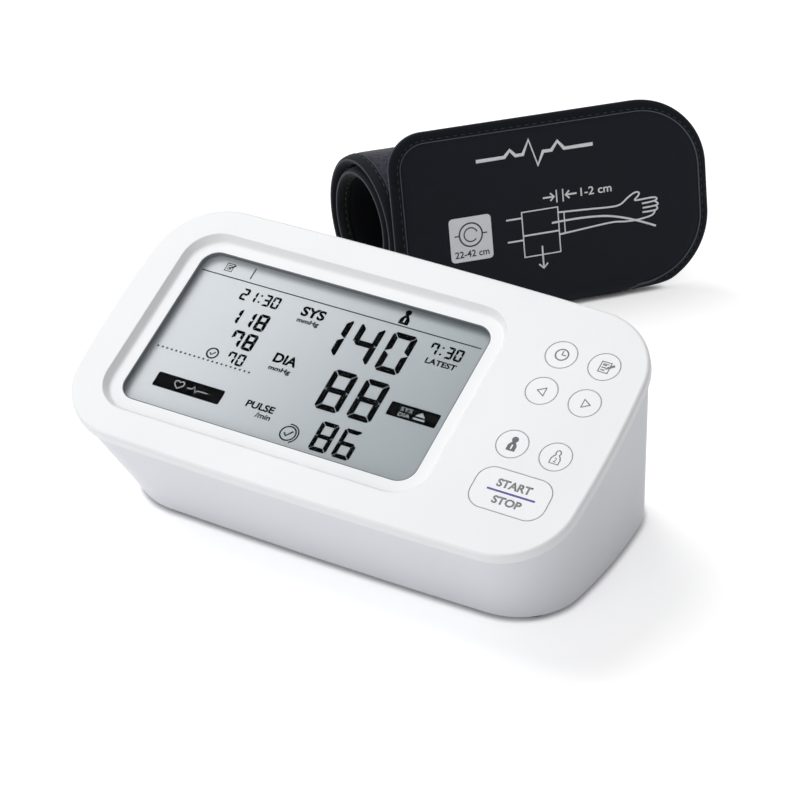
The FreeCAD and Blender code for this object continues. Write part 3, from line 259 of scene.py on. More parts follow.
@dataclass(frozen=True)
class MouldedRubber(Finish):
    """Moulded rubber or silicone: matt, soft edged, with a faint bloom on its surface."""

    colour: str
    bloom: str
    roughness: float = 0.7
    patch: float = 4.0

    def shader(self, tree: bpy.types.NodeTree) -> bpy.types.Node:
        """Wire the finish's nodes.

        Args:
            tree: the material's node tree.

        Returns:
            The last shader node.
        """
        place = add(tree, "TexCoord").outputs["Object"]
        patch = add(tree, "TexNoise", {"Scale": 1 / (self.patch * MM), "Detail": 4.0}, {"Vector": place})
        colour = add(
            tree, "Mix",
            {"data_type": "RGBA", 6: linear(self.colour), 7: linear(self.bloom)},
            {0: patch.outputs["Fac"]},
        )
        bump = add(
            tree, "Bump", {"Strength": 0.2, "Distance": 0.05 * MM}, {"Height": patch.outputs["Fac"]}
        )
        return add(
            tree, "BsdfPrincipled", {"Roughness": self.roughness, "IOR": 1.5},
            {"Base Color": colour.outputs[2], "Normal": bump.outputs[0]},
        )


@dataclass(frozen=True)
class ClearAcrylic(Finish):
    """Polished clear acrylic of the display window: nearly invisible, with a thin gloss."""

    colour: str = "0b0d0f"
    cover: float = 0.04

    def shader(self, tree: bpy.types.NodeTree) -> bpy.types.Node:
        """Wire the finish's nodes.

        Args:
            tree: the material's node tree.

        Returns:
            The last shader node.
        """
        return add(
            tree, "BsdfPrincipled",
            {"Base Color": linear(self.colour), "Roughness": 0.06, "IOR": 1.49, "Alpha": self.cover},
        )


@dataclass(frozen=True)
class DisplayReflector(Finish):
    """Silvery polariser and reflector of a passive liquid crystal display.

    Its colour is painted paler at its upper left and darker at its lower right corner: painted shade and
    painted reflection of the lamps, laid out in the object's coordinates.
    """

    light: str
    deep: str
    centre: tuple[float, float, float]
    span: float
    turn: float = -24.0
    grit: float = 0.3

    def shader(self, tree: bpy.types.NodeTree) -> bpy.types.Node:
        """Wire the finish's nodes.

        Args:
            tree: the material's node tree.

        Returns:
            The last shader node.
        """
        place = add(tree, "TexCoord").outputs["Object"]
        turn = add(
            tree, "Mapping",
            {"vector_type": "TEXTURE", "Location": self.centre, "Scale": (self.span, self.span, self.span),
             "Rotation": (0.0, 0.0, math.radians(self.turn))},
            {"Vector": place},
        )
        parts = add(tree, "SeparateXYZ", links={"Vector": turn.outputs[0]})
        # Painted shade and reflection: the deeper colour's share grows from the upper left to the lower
        # right.
        share = add(
            tree, "MapRange", {"interpolation_type": "SMOOTHSTEP", "From Min": -0.5, "From Max": 0.5},
            {"Value": parts.outputs["X"]},
        )
        grit = add(tree, "TexNoise", {"Scale": 1 / (self.grit * MM), "Detail": 2.0}, {"Vector": place})
        colour = add(
            tree, "Mix",
            {"data_type": "RGBA", 6: linear(self.light), 7: linear(self.deep)},
            {0: share.outputs[0]},
        )
        gloss = add(
            tree, "MapRange", {"To Min": 0.3, "To Max": 0.4}, {"Value": grit.outputs["Fac"]}
        )
        bump = add(
            tree, "Bump", {"Strength": 0.1, "Distance": 0.01 * MM}, {"Height": grit.outputs["Fac"]}
        )
        return add(
            tree, "BsdfPrincipled", {"IOR": 1.5},
            {"Base Color": colour.outputs[2], "Roughness": gloss.outputs[0], "Normal": bump.outputs[0]},
        )


@dataclass(frozen=True)
class Ink(Finish):
    """Pad-printed ink or a switched display segment: even colour with a slightly broken film."""

    colour: str
    thin: str
    roughness: float = 0.5
    gloss: float = 0.5
    speck: float = 0.4

    def shader(self, tree: bpy.types.NodeTree) -> bpy.types.Node:
        """Wire the finish's nodes.

        Args:
            tree: the material's node tree.

        Returns:
            The last shader node.
        """
        place = add(tree, "TexCoord").outputs["Object"]
        speck = add(tree, "TexNoise", {"Scale": 1 / (self.speck * MM), "Detail": 3.0}, {"Vector": place})
        colour = add(
            tree, "Mix",
            {"data_type": "RGBA", 6: linear(self.colour), 7: linear(self.thin)},
            {0: speck.outputs["Fac"]},
        )
        return add(
            tree, "BsdfPrincipled", {"Roughness": self.roughness, "Specular IOR Level": self.gloss},
            {"Base Color": colour.outputs[2]},
        )


@dataclass(frozen=True)
class WovenCloth(Finish):
    """Plain-woven polyester cloth, whose threads follow the piece's own UV map in millimetres.

    The real threads lie about 0.15 mm apart; they are drawn coarser so that they show.
    """

    colour: str
    thread: str
    spacing: float = 0.55
    roughness: float = 0.62
    sheen: float = 0.25
    gloss: float = 0.2
    relief: float = 0.05
    cloud: float = 20.0

    def shader(self, tree: bpy.types.NodeTree) -> bpy.types.Node:
        """Wire the finish's nodes.

        Args:
            tree: the material's node tree.

        Returns:
            The last shader node.
        """
        flat = add(tree, "TexCoord").outputs["UV"]
        scale = WAVE_PITCH / self.spacing
        warp = add(
            tree, "TexWave", {"bands_direction": "X", "Scale": scale, "Distortion": 0.6, "Detail": 1.0},
            {"Vector": flat},
        )
        weft = add(
            tree, "TexWave", {"bands_direction": "Y", "Scale": scale, "Distortion": 0.6, "Detail": 1.0},
            {"Vector": flat},
        )
        weave = add(
            tree, "Math", {"operation": "MULTIPLY"}, {0: warp.outputs["Fac"], 1: weft.outputs["Fac"]}
        )
        cloud = add(tree, "TexNoise", {"Scale": 1 / self.cloud, "Detail": 4.0}, {"Vector": flat})
        blend = add(
            tree, "Math", {"operation": "MULTIPLY_ADD", 2: -0.1},
            {0: cloud.outputs["Fac"], 1: weave.outputs[0]},
        )
        colour = add(
            tree, "Mix",
            {"data_type": "RGBA", 6: linear(self.colour), 7: linear(self.thread)},
            {0: blend.outputs[0]},
        )
        bump = add(
            tree, "Bump", {"Strength": 0.35, "Distance": self.relief * MM}, {"Height": weave.outputs[0]}
        )
        return add(
            tree, "BsdfPrincipled",
            {"Roughness": self.roughness, "Sheen Weight": self.sheen, "Sheen Roughness": 0.4,
             "Specular IOR Level": self.gloss},
            {"Base Color": colour.outputs[2], "Normal": bump.outputs[0]},
        )


@dataclass(frozen=True)
class LoopPile(Finish):
    """Brushed loop cloth that hook tape grips: short tangled loops with a dusty sheen."""

    colour: str
    tip: str
    loop: float = 0.9
    roughness: float = 0.95
    sheen: float = 0.5
    relief: float = 0.35
    coordinates: Coordinates = Coordinates.FLAT

    def shader(self, tree: bpy.types.NodeTree) -> bpy.types.Node:
        """Wire the finish's nodes.

        Args:
            tree: the material's node tree.

        Returns:
            The last shader node.
        """
        flat = add(tree, "TexCoord").outputs[self.coordinates.value]
        scale = 1 / (self.loop * (MM if self.coordinates is Coordinates.OBJECT else 1.0))
        tangle = add(
            tree, "TexNoise", {"Scale": scale, "Detail": 5.0, "Roughness": 0.65, "Distortion": 1.2},
            {"Vector": flat},
        )
        cells = add(
            tree, "TexVoronoi", {"Scale": 0.8 * scale, "feature": "SMOOTH_F1"}, {"Vector": flat}
        )
        height = add(
            tree, "Math", {"operation": "MULTIPLY_ADD", 1: -0.6},
            {0: cells.outputs["Distance"], 2: tangle.outputs["Fac"]},
        )
        share = add(
            tree, "MapRange", {"From Min": 0.0, "From Max": 0.6}, {"Value": height.outputs[0]}
        )
        colour = add(
            tree, "Mix",
            {"data_type": "RGBA", 6: linear(self.colour), 7: linear(self.tip)},
            {0: share.outputs[0]},
        )
        bump = add(
            tree, "Bump", {"Strength": 0.6, "Distance": self.relief * MM}, {"Height": height.outputs[0]}
        )
        return add(
            tree, "BsdfPrincipled",
            {"Roughness": self.roughness, "Sheen Weight": self.sheen, "Sheen Roughness": 0.35,
             "Specular IOR Level": 0.2},
            {"Base Color": colour.outputs[2], "Normal": bump.outputs[0]},
        )


@dataclass(frozen=True)
class BindingTape(Finish):
    """Ribbed polyester binding tape, whose ribs cross the edge that it covers.

    Its outer selvedge and the crease along the cuff's edge carry a painted highlight; the half on the cuff's
    inner face is painted darker, as painted shade.
    """

    colour: str
    rib_tone: str
    selvedge: str
    inner: str
    fold: float
    rib: float = 0.9
    fuzz: float = 2 / 3
    roughness: float = 0.7
    sheen: float = 0.06

    def shader(self, tree: bpy.types.NodeTree) -> bpy.types.Node:
        """Wire the finish's nodes.

        Args:
            tree: the material's node tree.

        Returns:
            The last shader node.
        """
        flat = add(tree, "TexCoord").outputs["UV"]
        ribs = add(
            tree, "TexWave",
            {"bands_direction": "X", "Scale": WAVE_PITCH / self.rib, "Distortion": 0.8, "Detail": 2.0},
            {"Vector": flat},
        )
        fuzz = add(tree, "TexNoise", {"Scale": 1 / self.fuzz, "Detail": 3.0}, {"Vector": flat})
        height = add(
            tree, "Math", {"operation": "MULTIPLY"}, {0: ribs.outputs["Fac"], 1: fuzz.outputs["Fac"]}
        )
        cloth = add(
            tree, "Mix",
            {"data_type": "RGBA", 6: linear(self.colour), 7: linear(self.rib_tone)},
            {0: height.outputs[0]},
        )
        across = add(tree, "SeparateXYZ", links={"Vector": flat})
        from_fold = add(
            tree, "Math", {"operation": "SUBTRACT", 1: self.fold}, {0: across.outputs["Y"]}
        )
        apart = add(tree, "Math", {"operation": "ABSOLUTE"}, {0: from_fold.outputs[0]})
        # Painted highlight: paler along the crease at the cuff's edge and along the outer selvedges.
        crease = add(
            tree, "MapRange", {"From Min": 0.2, "From Max": 0.7, "To Min": 0.5, "To Max": 0.0},
            {"Value": apart.outputs[0]},
        )
        edge = add(
            tree, "MapRange", {"From Min": self.fold - 2.2, "From Max": self.fold - 1.6},
            {"Value": apart.outputs[0]},
        )
        painted_highlight = add(
            tree, "Math", {"operation": "MAXIMUM"}, {0: crease.outputs[0], 1: edge.outputs[0]}
        )
        outer = add(
            tree, "Mix", {"data_type": "RGBA", 7: linear(self.selvedge)},
            {0: painted_highlight.outputs[0], 6: cloth.outputs[2]},
        )
        # Painted shade: the half on the cuff's inner face turns darker.
        inside = add(
            tree, "MapRange", {"From Min": 0.8, "From Max": 1.8}, {"Value": from_fold.outputs[0]}
        )
        colour = add(
            tree, "Mix", {"data_type": "RGBA", 7: linear(self.inner)},
            {0: inside.outputs[0], 6: outer.outputs[2]},
        )
        bump = add(
            tree, "Bump", {"Strength": 0.4, "Distance": 0.08 * MM}, {"Height": height.outputs[0]}
        )
        return add(
            tree, "BsdfPrincipled",
            {"Roughness": self.roughness, "Sheen Weight": self.sheen, "Sheen Roughness": 0.45,
             "Specular IOR Level": 0.1},
            {"Base Color": colour.outputs[2], "Normal": bump.outputs[0]},
        )


@dataclass(frozen=True)
class BoardLaminate(Finish):
    """Green solder mask over glass-epoxy laminate, with copper tracks showing as paler lines."""

    mask: str
    track: str
    pitch: float = 3.0

    def shader(self, tree: bpy.types.NodeTree) -> bpy.types.Node:
        """Wire the finish's nodes.

        Args:
            tree: the material's node tree.

        Returns:
            The last shader node.
        """
        place = add(tree, "TexCoord").outputs["Object"]
        cells = add(
            tree, "TexVoronoi", {"Scale": 1 / (self.pitch * MM), "distance": "MANHATTAN", "feature": "F1"},
            {"Vector": place},
        )
        share = add(
            tree, "MapRange", {"From Min": 0.45, "From Max": 0.5}, {"Value": cells.outputs["Distance"]}
        )
        colour = add(
            tree, "Mix",
            {"data_type": "RGBA", 6: linear(self.mask), 7: linear(self.track)},
            {0: share.outputs[0]},
        )
        bump = add(
            tree, "Bump", {"Strength": 0.3, "Distance": 0.03 * MM}, {"Height": share.outputs[0]}
        )
        return add(
            tree, "BsdfPrincipled", {"Roughness": 0.35, "Coat Weight": 0.3},
            {"Base Color": colour.outputs[2], "Normal": bump.outputs[0]},
        )


@dataclass(frozen=True)
class CellJacket(Finish):
    """Printed foil jacket of a dry cell: a dark band and a metallic one, split across its length."""

    dark: str
    bright: str
    split: float
    wear: float = 1.5

    def shader(self, tree: bpy.types.NodeTree) -> bpy.types.Node:
        """Wire the finish's nodes.

        Args:
            tree: the material's node tree.

        Returns:
            The last shader node.
        """
        place = add(tree, "TexCoord").outputs["Object"]
        parts = add(tree, "SeparateXYZ", links={"Vector": place})
        share = add(
            tree, "Math", {"operation": "GREATER_THAN", 1: self.split * MM}, {0: parts.outputs["Y"]}
        )
        wear = add(tree, "TexNoise", {"Scale": 1 / (self.wear * MM), "Detail": 3.0}, {"Vector": place})
        gloss = add(
            tree, "MapRange", {"To Min": 0.22, "To Max": 0.36}, {"Value": wear.outputs["Fac"]}
        )
        colour = add(
            tree, "Mix",
            {"data_type": "RGBA", 6: linear(self.dark), 7: linear(self.bright)},
            {0: share.outputs[0]},
        )
        return add(
            tree, "BsdfPrincipled", {"Metallic": 0.6},
            {"Base Color": colour.outputs[2], "Roughness": gloss.outputs[0]},
        )


class Finishes:
    """Every finish of the monitor, built once."""

    def __init__(self) -> None:
        """Build the materials."""
        self.white_shell = MouldedPlastic("white_abs", "f3f4f5", "eff0f2", 0.40).material()
        self.key_shell = MouldedPlastic("white_abs_keys", "f4f5f6", "f0f1f3", 0.38).material()
        self.tub_shell = MouldedPlastic("pale_grey_abs", "e9ebf0", "e4e6eb", 0.5, gloss=0.25).material()
        self.black_plastic = MouldedPlastic("black_nylon", "17181a", "1f2022", 0.5, 0.5).material()
        # Dark grey strip of painted shade on the shadowed wall of the display opening.
        self.painted_shade_lining = MouldedPlastic("dark_grey_painted_shade_lining", "64686c", "6d7175", 0.55, gloss=0.25).material()
        # Grey strip of painted shade that shows as the shadowed slit round each key.
        self.key_slit_shade = MouldedRubber("grey_slit_shade_strip", "b2b4b8", "bcbec2", 0.75).material()
        self.clear_window = ClearAcrylic("clear_acrylic").material()
        # The reflector's pale and deep colours paint shade and the lamps' reflection across the display.
        self.reflector = DisplayReflector(
            "lcd_reflector", "dbe1e6", "8f9aa0", (-19.9 * MM, -25.0 * MM, 58.0 * MM), 140.0 * MM
        ).material()
        self.segment = Ink("lcd_segment", "030405", "07090a", 0.4, 0.0).material()
        self.faint_segment = Ink("lcd_fine_segment", "2c3033", "363b3e", 0.4, 0.0).material()
        self.key_print = Ink("grey_pad_print", "6b6d72", "787a7f").material()
        self.start_print = Ink("pale_grey_pad_print", "7f8186", "898b90").material()
        self.dark_print = Ink("dark_grey_pad_print", "4d4f54", "5a5c61").material()
        self.accent_print = Ink("violet_pad_print", "3a2f8c", "4a3fa0").material()
        self.cloth_print = Ink("pale_screen_print", "f3f5f7", "e8ebee", 0.65).material()
        self.dark_cloth_print = Ink("dark_screen_print", "2c3036", "383c42", 0.65).material()
        self.printed_cloth = WovenCloth(
            "black_woven_polyester", "0f131b", "1c222e", 0.5, 0.6, 0.03, 0.14
        ).material()
        self.lining = WovenCloth("black_woven_lining", "090a0d", "101216", 0.7, 0.8, 0.02, 0.08).material()
        self.loop_pile = LoopPile("grey_loop_pile", "24242b", "4d4d5a", sheen=0.35).material()
        self.hook_tape = LoopPile(
            "black_hook_tape", "0c0c0d", "27272a", 1.6, 0.6, 0.1, 0.5, Coordinates.OBJECT
        ).material()
        # The binding's 5b5e69 is a painted highlight on its crease and selvedges; its 07080a is painted shade
        # on its inner half.
        self.binding = BindingTape(
            "black_binding_tape", "0d0f15", "1b1e27", "5b5e69", "07080a", 9.0
        ).material()
        self.thread = MouldedRubber("black_sewing_thread", "121317", "1d1e23", 0.6, 0.5).material()
        self.bladder = MouldedRubber("black_bladder_rubber", "161617", "202022").material()
        self.curler = MouldedPlastic("pale_curler_sheet", "8d8d88", "97978f", 0.4).material()
        self.foot_rubber = MouldedRubber("grey_foot_rubber", "35363a", "424347").material()
        self.contact_rubber = MouldedRubber("striped_contact_rubber", "252527", "39393c").material()
        self.tube = MouldedRubber("silicone_tube", "c9cbc8", "d6d8d4", 0.4).material()
        self.steel = PlatedMetal("nickel_plated_steel", "b6b6b8").material()
        self.spring_steel = PlatedMetal("plated_spring_steel", "c2c1bd", 0.25, 0.2).material()
        self.board = BoardLaminate("green_board_laminate", "0f4a2a", "2c7a4b").material()
        self.cell = CellJacket("dry_cell_jacket", "1a1b1e", "a98a4a", 10.0).material()


def put_in_scene(name: str, shape: bmesh.types.BMesh, material: bpy.types.Material) -> bpy.types.Object:
    """Make an object of a finished shape.

    Args:
        name: the piece's name.
        shape: its faces, already in place; they are handed over and freed.
        material: its finish.

    Returns:
        The new object, at the origin.
    """
    mesh = bpy.data.meshes.new(name)
    shape.to_mesh(mesh)
    shape.free()
    mesh.materials.append(material)
    piece = bpy.data.objects.new(name, mesh)
    bpy.context.scene.collection.objects.link(piece)
    return piece


def report(piece: bpy.types.Object, body: Body, slot: str) -> bpy.types.Object:
    """Let a piece ride on its body and log it.

    Args:
        piece: a finished object.
        body: the body that carries it.
        slot: the record's material slot; not used.

    Returns:
        The same object.
    """
    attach(piece, body.value)
    LOG.info("%s rides on %s, %d faces", piece.name, body.value, len(piece.data.polygons))
    return piece


def dress(node: str, material: bpy.types.Material) -> None:
    """Give one CAD piece its finish.

    Args:
        node: the CAD node's name.
        material: the finish.
    """
    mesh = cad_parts[node].data
    mesh.materials.clear()
    mesh.materials.append(material)
    LOG.info("%s dressed in %s", node, material.name)


def map_flat(shape: bmesh.types.BMesh, flat: dict[int, tuple[float, float]]) -> None:
    """Smooth a cloth's faces and give it a UV map in flat millimetres.

    Args:
        shape: the cloth, with its vertices numbered.
        flat: the flat place of each vertex, by its number.
    """
    layer = shape.loops.layers.uv.new("flat")
    for polygon in shape.faces:
        polygon.smooth = True
        for loop in polygon.loops:
            loop[layer].uv = flat[loop.vert.index]


def curve_mesh(curve: bpy.types.Curve) -> bpy.types.Mesh:
    """Turn a curve or text into a mesh and drop the curve.

    Args:
        curve: curve data.

    Returns:
        A new mesh of it.
    """
    holder = bpy.data.objects.new("outline", curve)
    bpy.context.scene.collection.objects.link(holder)
    graph = bpy.context.evaluated_depsgraph_get()
    mesh = bpy.data.meshes.new_from_object(holder.evaluated_get(graph))
    bpy.data.objects.remove(holder)
    bpy.data.curves.remove(curve)
    return mesh


class Stencil:
    """Flat shapes in millimetres that are given a film's thickness and laid on a surface."""

    DISC_FACETS = 28
    RING_FACETS = 48
    ARC_FACETS = 8
    MOST_HALVINGS = 4

    def __init__(self, film: float = FILM) -> None:
        """Start an empty stencil.

        Args:
            film: thickness of the print in millimetres.
        """
        self.film = film
        self.flat = bmesh.new()
        self.raised = bmesh.new()

    def polygon(self, points: Points, corner: float = 0.0, steps: int = 4) -> None:
        """Add a filled polygon.

        Args:
            points: its corners, anticlockwise.
            corner: radius of its rounded corners.
            steps: facets of each rounded corner.
        """
        corners = [self.flat.verts.new((x, y, 0.0)) for x, y in points]
        self.flat.faces.new(corners)
        if corner:
            bmesh.ops.bevel(
                self.flat, geom=corners, offset=corner, segments=steps, profile=0.5, affect="VERTICES",
                material=-1,
            )

    def bar(self, left: float, low: float, right: float, high: float, corner: float = 0.0) -> None:
        """Add a filled rectangle.

        Args:
            left: left side.
            low: lower side.
            right: right side.
            high: upper side.
            corner: radius of its rounded corners.
        """
        self.polygon([(left, low), (right, low), (right, high), (left, high)], corner)

    def disc(self, x: float, y: float, radius: float) -> None:
        """Add a filled circle.

        Args:
            x: its centre across.
            y: its centre up.
            radius: its radius.
        """
        bmesh.ops.create_circle(
            self.flat, cap_ends=True, segments=self.DISC_FACETS, radius=radius,
            matrix=Matrix.Translation((x, y, 0.0)),
        )

    def stroke(self, points: Points, width: float, closed: bool = False, smooth: bool = False) -> None:
        """Add a line of even width with round ends.

        Args:
            points: the line's points.
            width: the line's width.
            closed: whether it returns to its start.
            smooth: whether it runs in one smooth curve.
        """
        curve = bpy.data.curves.new("stroke", "CURVE")
        curve.dimensions = "3D"
        curve.bevel_depth = width / 2
        curve.bevel_resolution = 1
        curve.use_fill_caps = True
        curve.resolution_u = 6
        line = curve.splines.new("NURBS" if smooth else "POLY")
        line.points.add(len(points) - 1)
        for knot, (x, y) in zip(line.points, points):
            knot.co = (x, y, 0.0, 1.0)
        line.use_cyclic_u = closed
        if smooth:
            line.order_u = 3
            line.use_endpoint_u = not closed
        mesh = curve_mesh(curve)
        mesh.transform(Matrix.Diagonal((1.0, 1.0, self.film / width, 1.0)))
        mesh.transform(Matrix.Translation((0.0, 0.0, self.film / 2)))
        self.raised.from_mesh(mesh)
        bpy.data.meshes.remove(mesh)

    def ring(
        self, x: float, y: float, radius: float, width: float, start: float = 0.0, sweep: float = FULL_TURN
    ) -> None:
        """Add a ring or an arc.

        Args:
            x: its centre across.
            y: its centre up.
            radius: radius of its middle line.
            width: its width.
            start: the arc's first angle in degrees.
            sweep: the arc's extent in degrees.
        """
        steps = max(self.ARC_FACETS, round(self.RING_FACETS * sweep / FULL_TURN))
        whole = sweep >= FULL_TURN
        angles = [math.radians(start + sweep * step / steps) for step in range(steps if whole else steps + 1)]
        points = [(x + radius * math.cos(angle), y + radius * math.sin(angle)) for angle in angles]
        self.stroke(points, width, closed=whole)

    def words(
        self, text: str, left: float, low: float, right: float, high: float, weight: float = 0.0
    ) -> None:
        """Add lettering that fills a box.

        Args:
            text: plain words or numbers.
            left: left side of the box.
            low: lower side.
            right: right side.
            high: upper side.
            weight: extra boldness, as a share of the letters' size.
        """
        curve = bpy.data.curves.new("words", "FONT")
        curve.body = text
        curve.offset = weight
        curve.resolution_u = 4
        mesh = curve_mesh(curve)
        spots = [vert.co for vert in mesh.vertices]
        first = Vector((min(spot.x for spot in spots), min(spot.y for spot in spots), 0.0))
        last = Vector((max(spot.x for spot in spots), max(spot.y for spot in spots), 0.0))
        reach = last - first
        mesh.transform(Matrix.Translation(-first))
        mesh.transform(Matrix.Diagonal(((right - left) / reach.x, (high - low) / reach.y, 1.0, 1.0)))
        mesh.transform(Matrix.Translation((left, low, 0.0)))
        self.flat.from_mesh(mesh)
        bpy.data.meshes.remove(mesh)

    def lay(
        self, name: str, place: Place, material: bpy.types.Material, grain: float = 0.0
    ) -> bpy.types.Object:
        """Thicken the shapes, lay them on a surface and make the object.

        Args:
            name: the piece's name.
            place: turns a stencil point in millimetres into a scene point in metres.
            material: the piece's finish.
            grain: longest edge that may cross a curved surface, or zero on a flat one.

        Returns:
            The new object.
        """
        if grain:
            bmesh.ops.triangulate(self.flat, faces=self.flat.faces[:])
            for _ in range(self.MOST_HALVINGS):
                long_edges = [edge for edge in self.flat.edges if edge.calc_length() > grain]
                if not long_edges:
                    break
                bmesh.ops.subdivide_edges(self.flat, edges=long_edges, cuts=1, use_grid_fill=True)
                bmesh.ops.triangulate(self.flat, faces=self.flat.faces[:])
        grown = bmesh.ops.extrude_face_region(self.flat, geom=self.flat.faces[:])
        tops = [item for item in grown["geom"] if isinstance(item, bmesh.types.BMVert)]
        bmesh.ops.translate(self.flat, verts=tops, vec=(0.0, 0.0, self.film))
        bmesh.ops.recalc_face_normals(self.flat, faces=self.flat.faces[:])
        strokes = bpy.data.meshes.new("strokes")
        self.raised.to_mesh(strokes)
        self.raised.free()
        self.flat.from_mesh(strokes)
        bpy.data.meshes.remove(strokes)
        for vert in self.flat.verts:
            vert.co = place(vert.co)
        return put_in_scene(name, self.flat, material)


@dataclass
class PanelPlane:
    """The tilted control panel's plane, in millimetres and degrees."""

    tilt: float = 23.8
    setback: float = 28.8
    rise: float = 63.7

    def at(self, depth: float) -> Place:
        """Give the way from panel points to scene points at one depth under the face.

        Args:
            depth: depth under the face.

        Returns:
            A function from a point on the panel to a point in the scene.
        """
        lean = math.radians(self.tilt)
        base = Vector((0.0, -self.setback, self.rise))
        slope = Vector((0.0, math.cos(lean), math.sin(lean)))
        outward = Vector((0.0, -math.sin(lean), math.cos(lean)))

        def place(spot: Vector) -> Vector:
            """Turn one panel point into a scene point."""
            return (base + Vector((spot.x, 0.0, 0.0)) + slope * spot.y + outward * (spot.z - depth)) * MM

        return place


@dataclass
class Digit:
    """One size of the display's seven-segment figures, in millimetres.

    Its mitre and point are shares of the stroke.
    """

    width: float
    height: float
    stroke: float
    gap: float = 0.16
    mitre: float = 0.55
    point: float = 0.22

    NUMERALS = {
        "0": "abcdef", "1": "bc", "2": "abged", "3": "abgcd", "4": "fgbc",
        "5": "afgcd", "6": "afgedc", "7": "fabc", "8": "abcdefg", "9": "abcfgd",
    }

    def shapes(self, numeral: str, right: float, low: float) -> list[Points]:
        """Outline the segments that a numeral switches on.

        Args:
            numeral: one numeral.
            right: right side of the figure.
            low: lower side.

        Returns:
            One polygon for each segment.
        """
        wide, thick, gap = self.width, self.stroke, self.gap
        half = self.height / 2
        cut = thick * self.mitre
        tip = thick * self.point
        side = [
            (0.0, gap), (tip, gap), (thick, thick / 2 + gap), (thick, half - thick - gap),
            ((cut - gap) / 2, half - (cut + gap) / 2), (0.0, half - cut),
        ]
        cap = [
            (thick + gap, half - thick), (wide - thick - gap, half - thick),
            (wide - (cut + gap) / 2, half - (cut - gap) / 2), (wide - cut, half), (cut, half),
            ((cut + gap) / 2, half - (cut - gap) / 2),
        ]
        near = tip + gap
        far = wide - tip - gap
        bar = [
            (near, 0.0), (near + thick / 2, -thick / 2), (far - thick / 2, -thick / 2),
            (far, 0.0), (far - thick / 2, thick / 2), (near + thick / 2, thick / 2),
        ]
        forms = {
            "f": (side, False, False), "b": (side, True, False),
            "e": (side, False, True), "c": (side, True, True),
            "a": (cap, False, False), "d": (cap, False, True), "g": (bar, False, False),
        }
        left = right - wide
        middle = low + half
        found = []
        for segment in self.NUMERALS[numeral]:
            form, mirrored, upside = forms[segment]
            points = [
                (left + (wide - x if mirrored else x), middle + (-y if upside else y)) for x, y in form
            ]
            found.append(points if mirrored == upside else points[::-1])
        return found


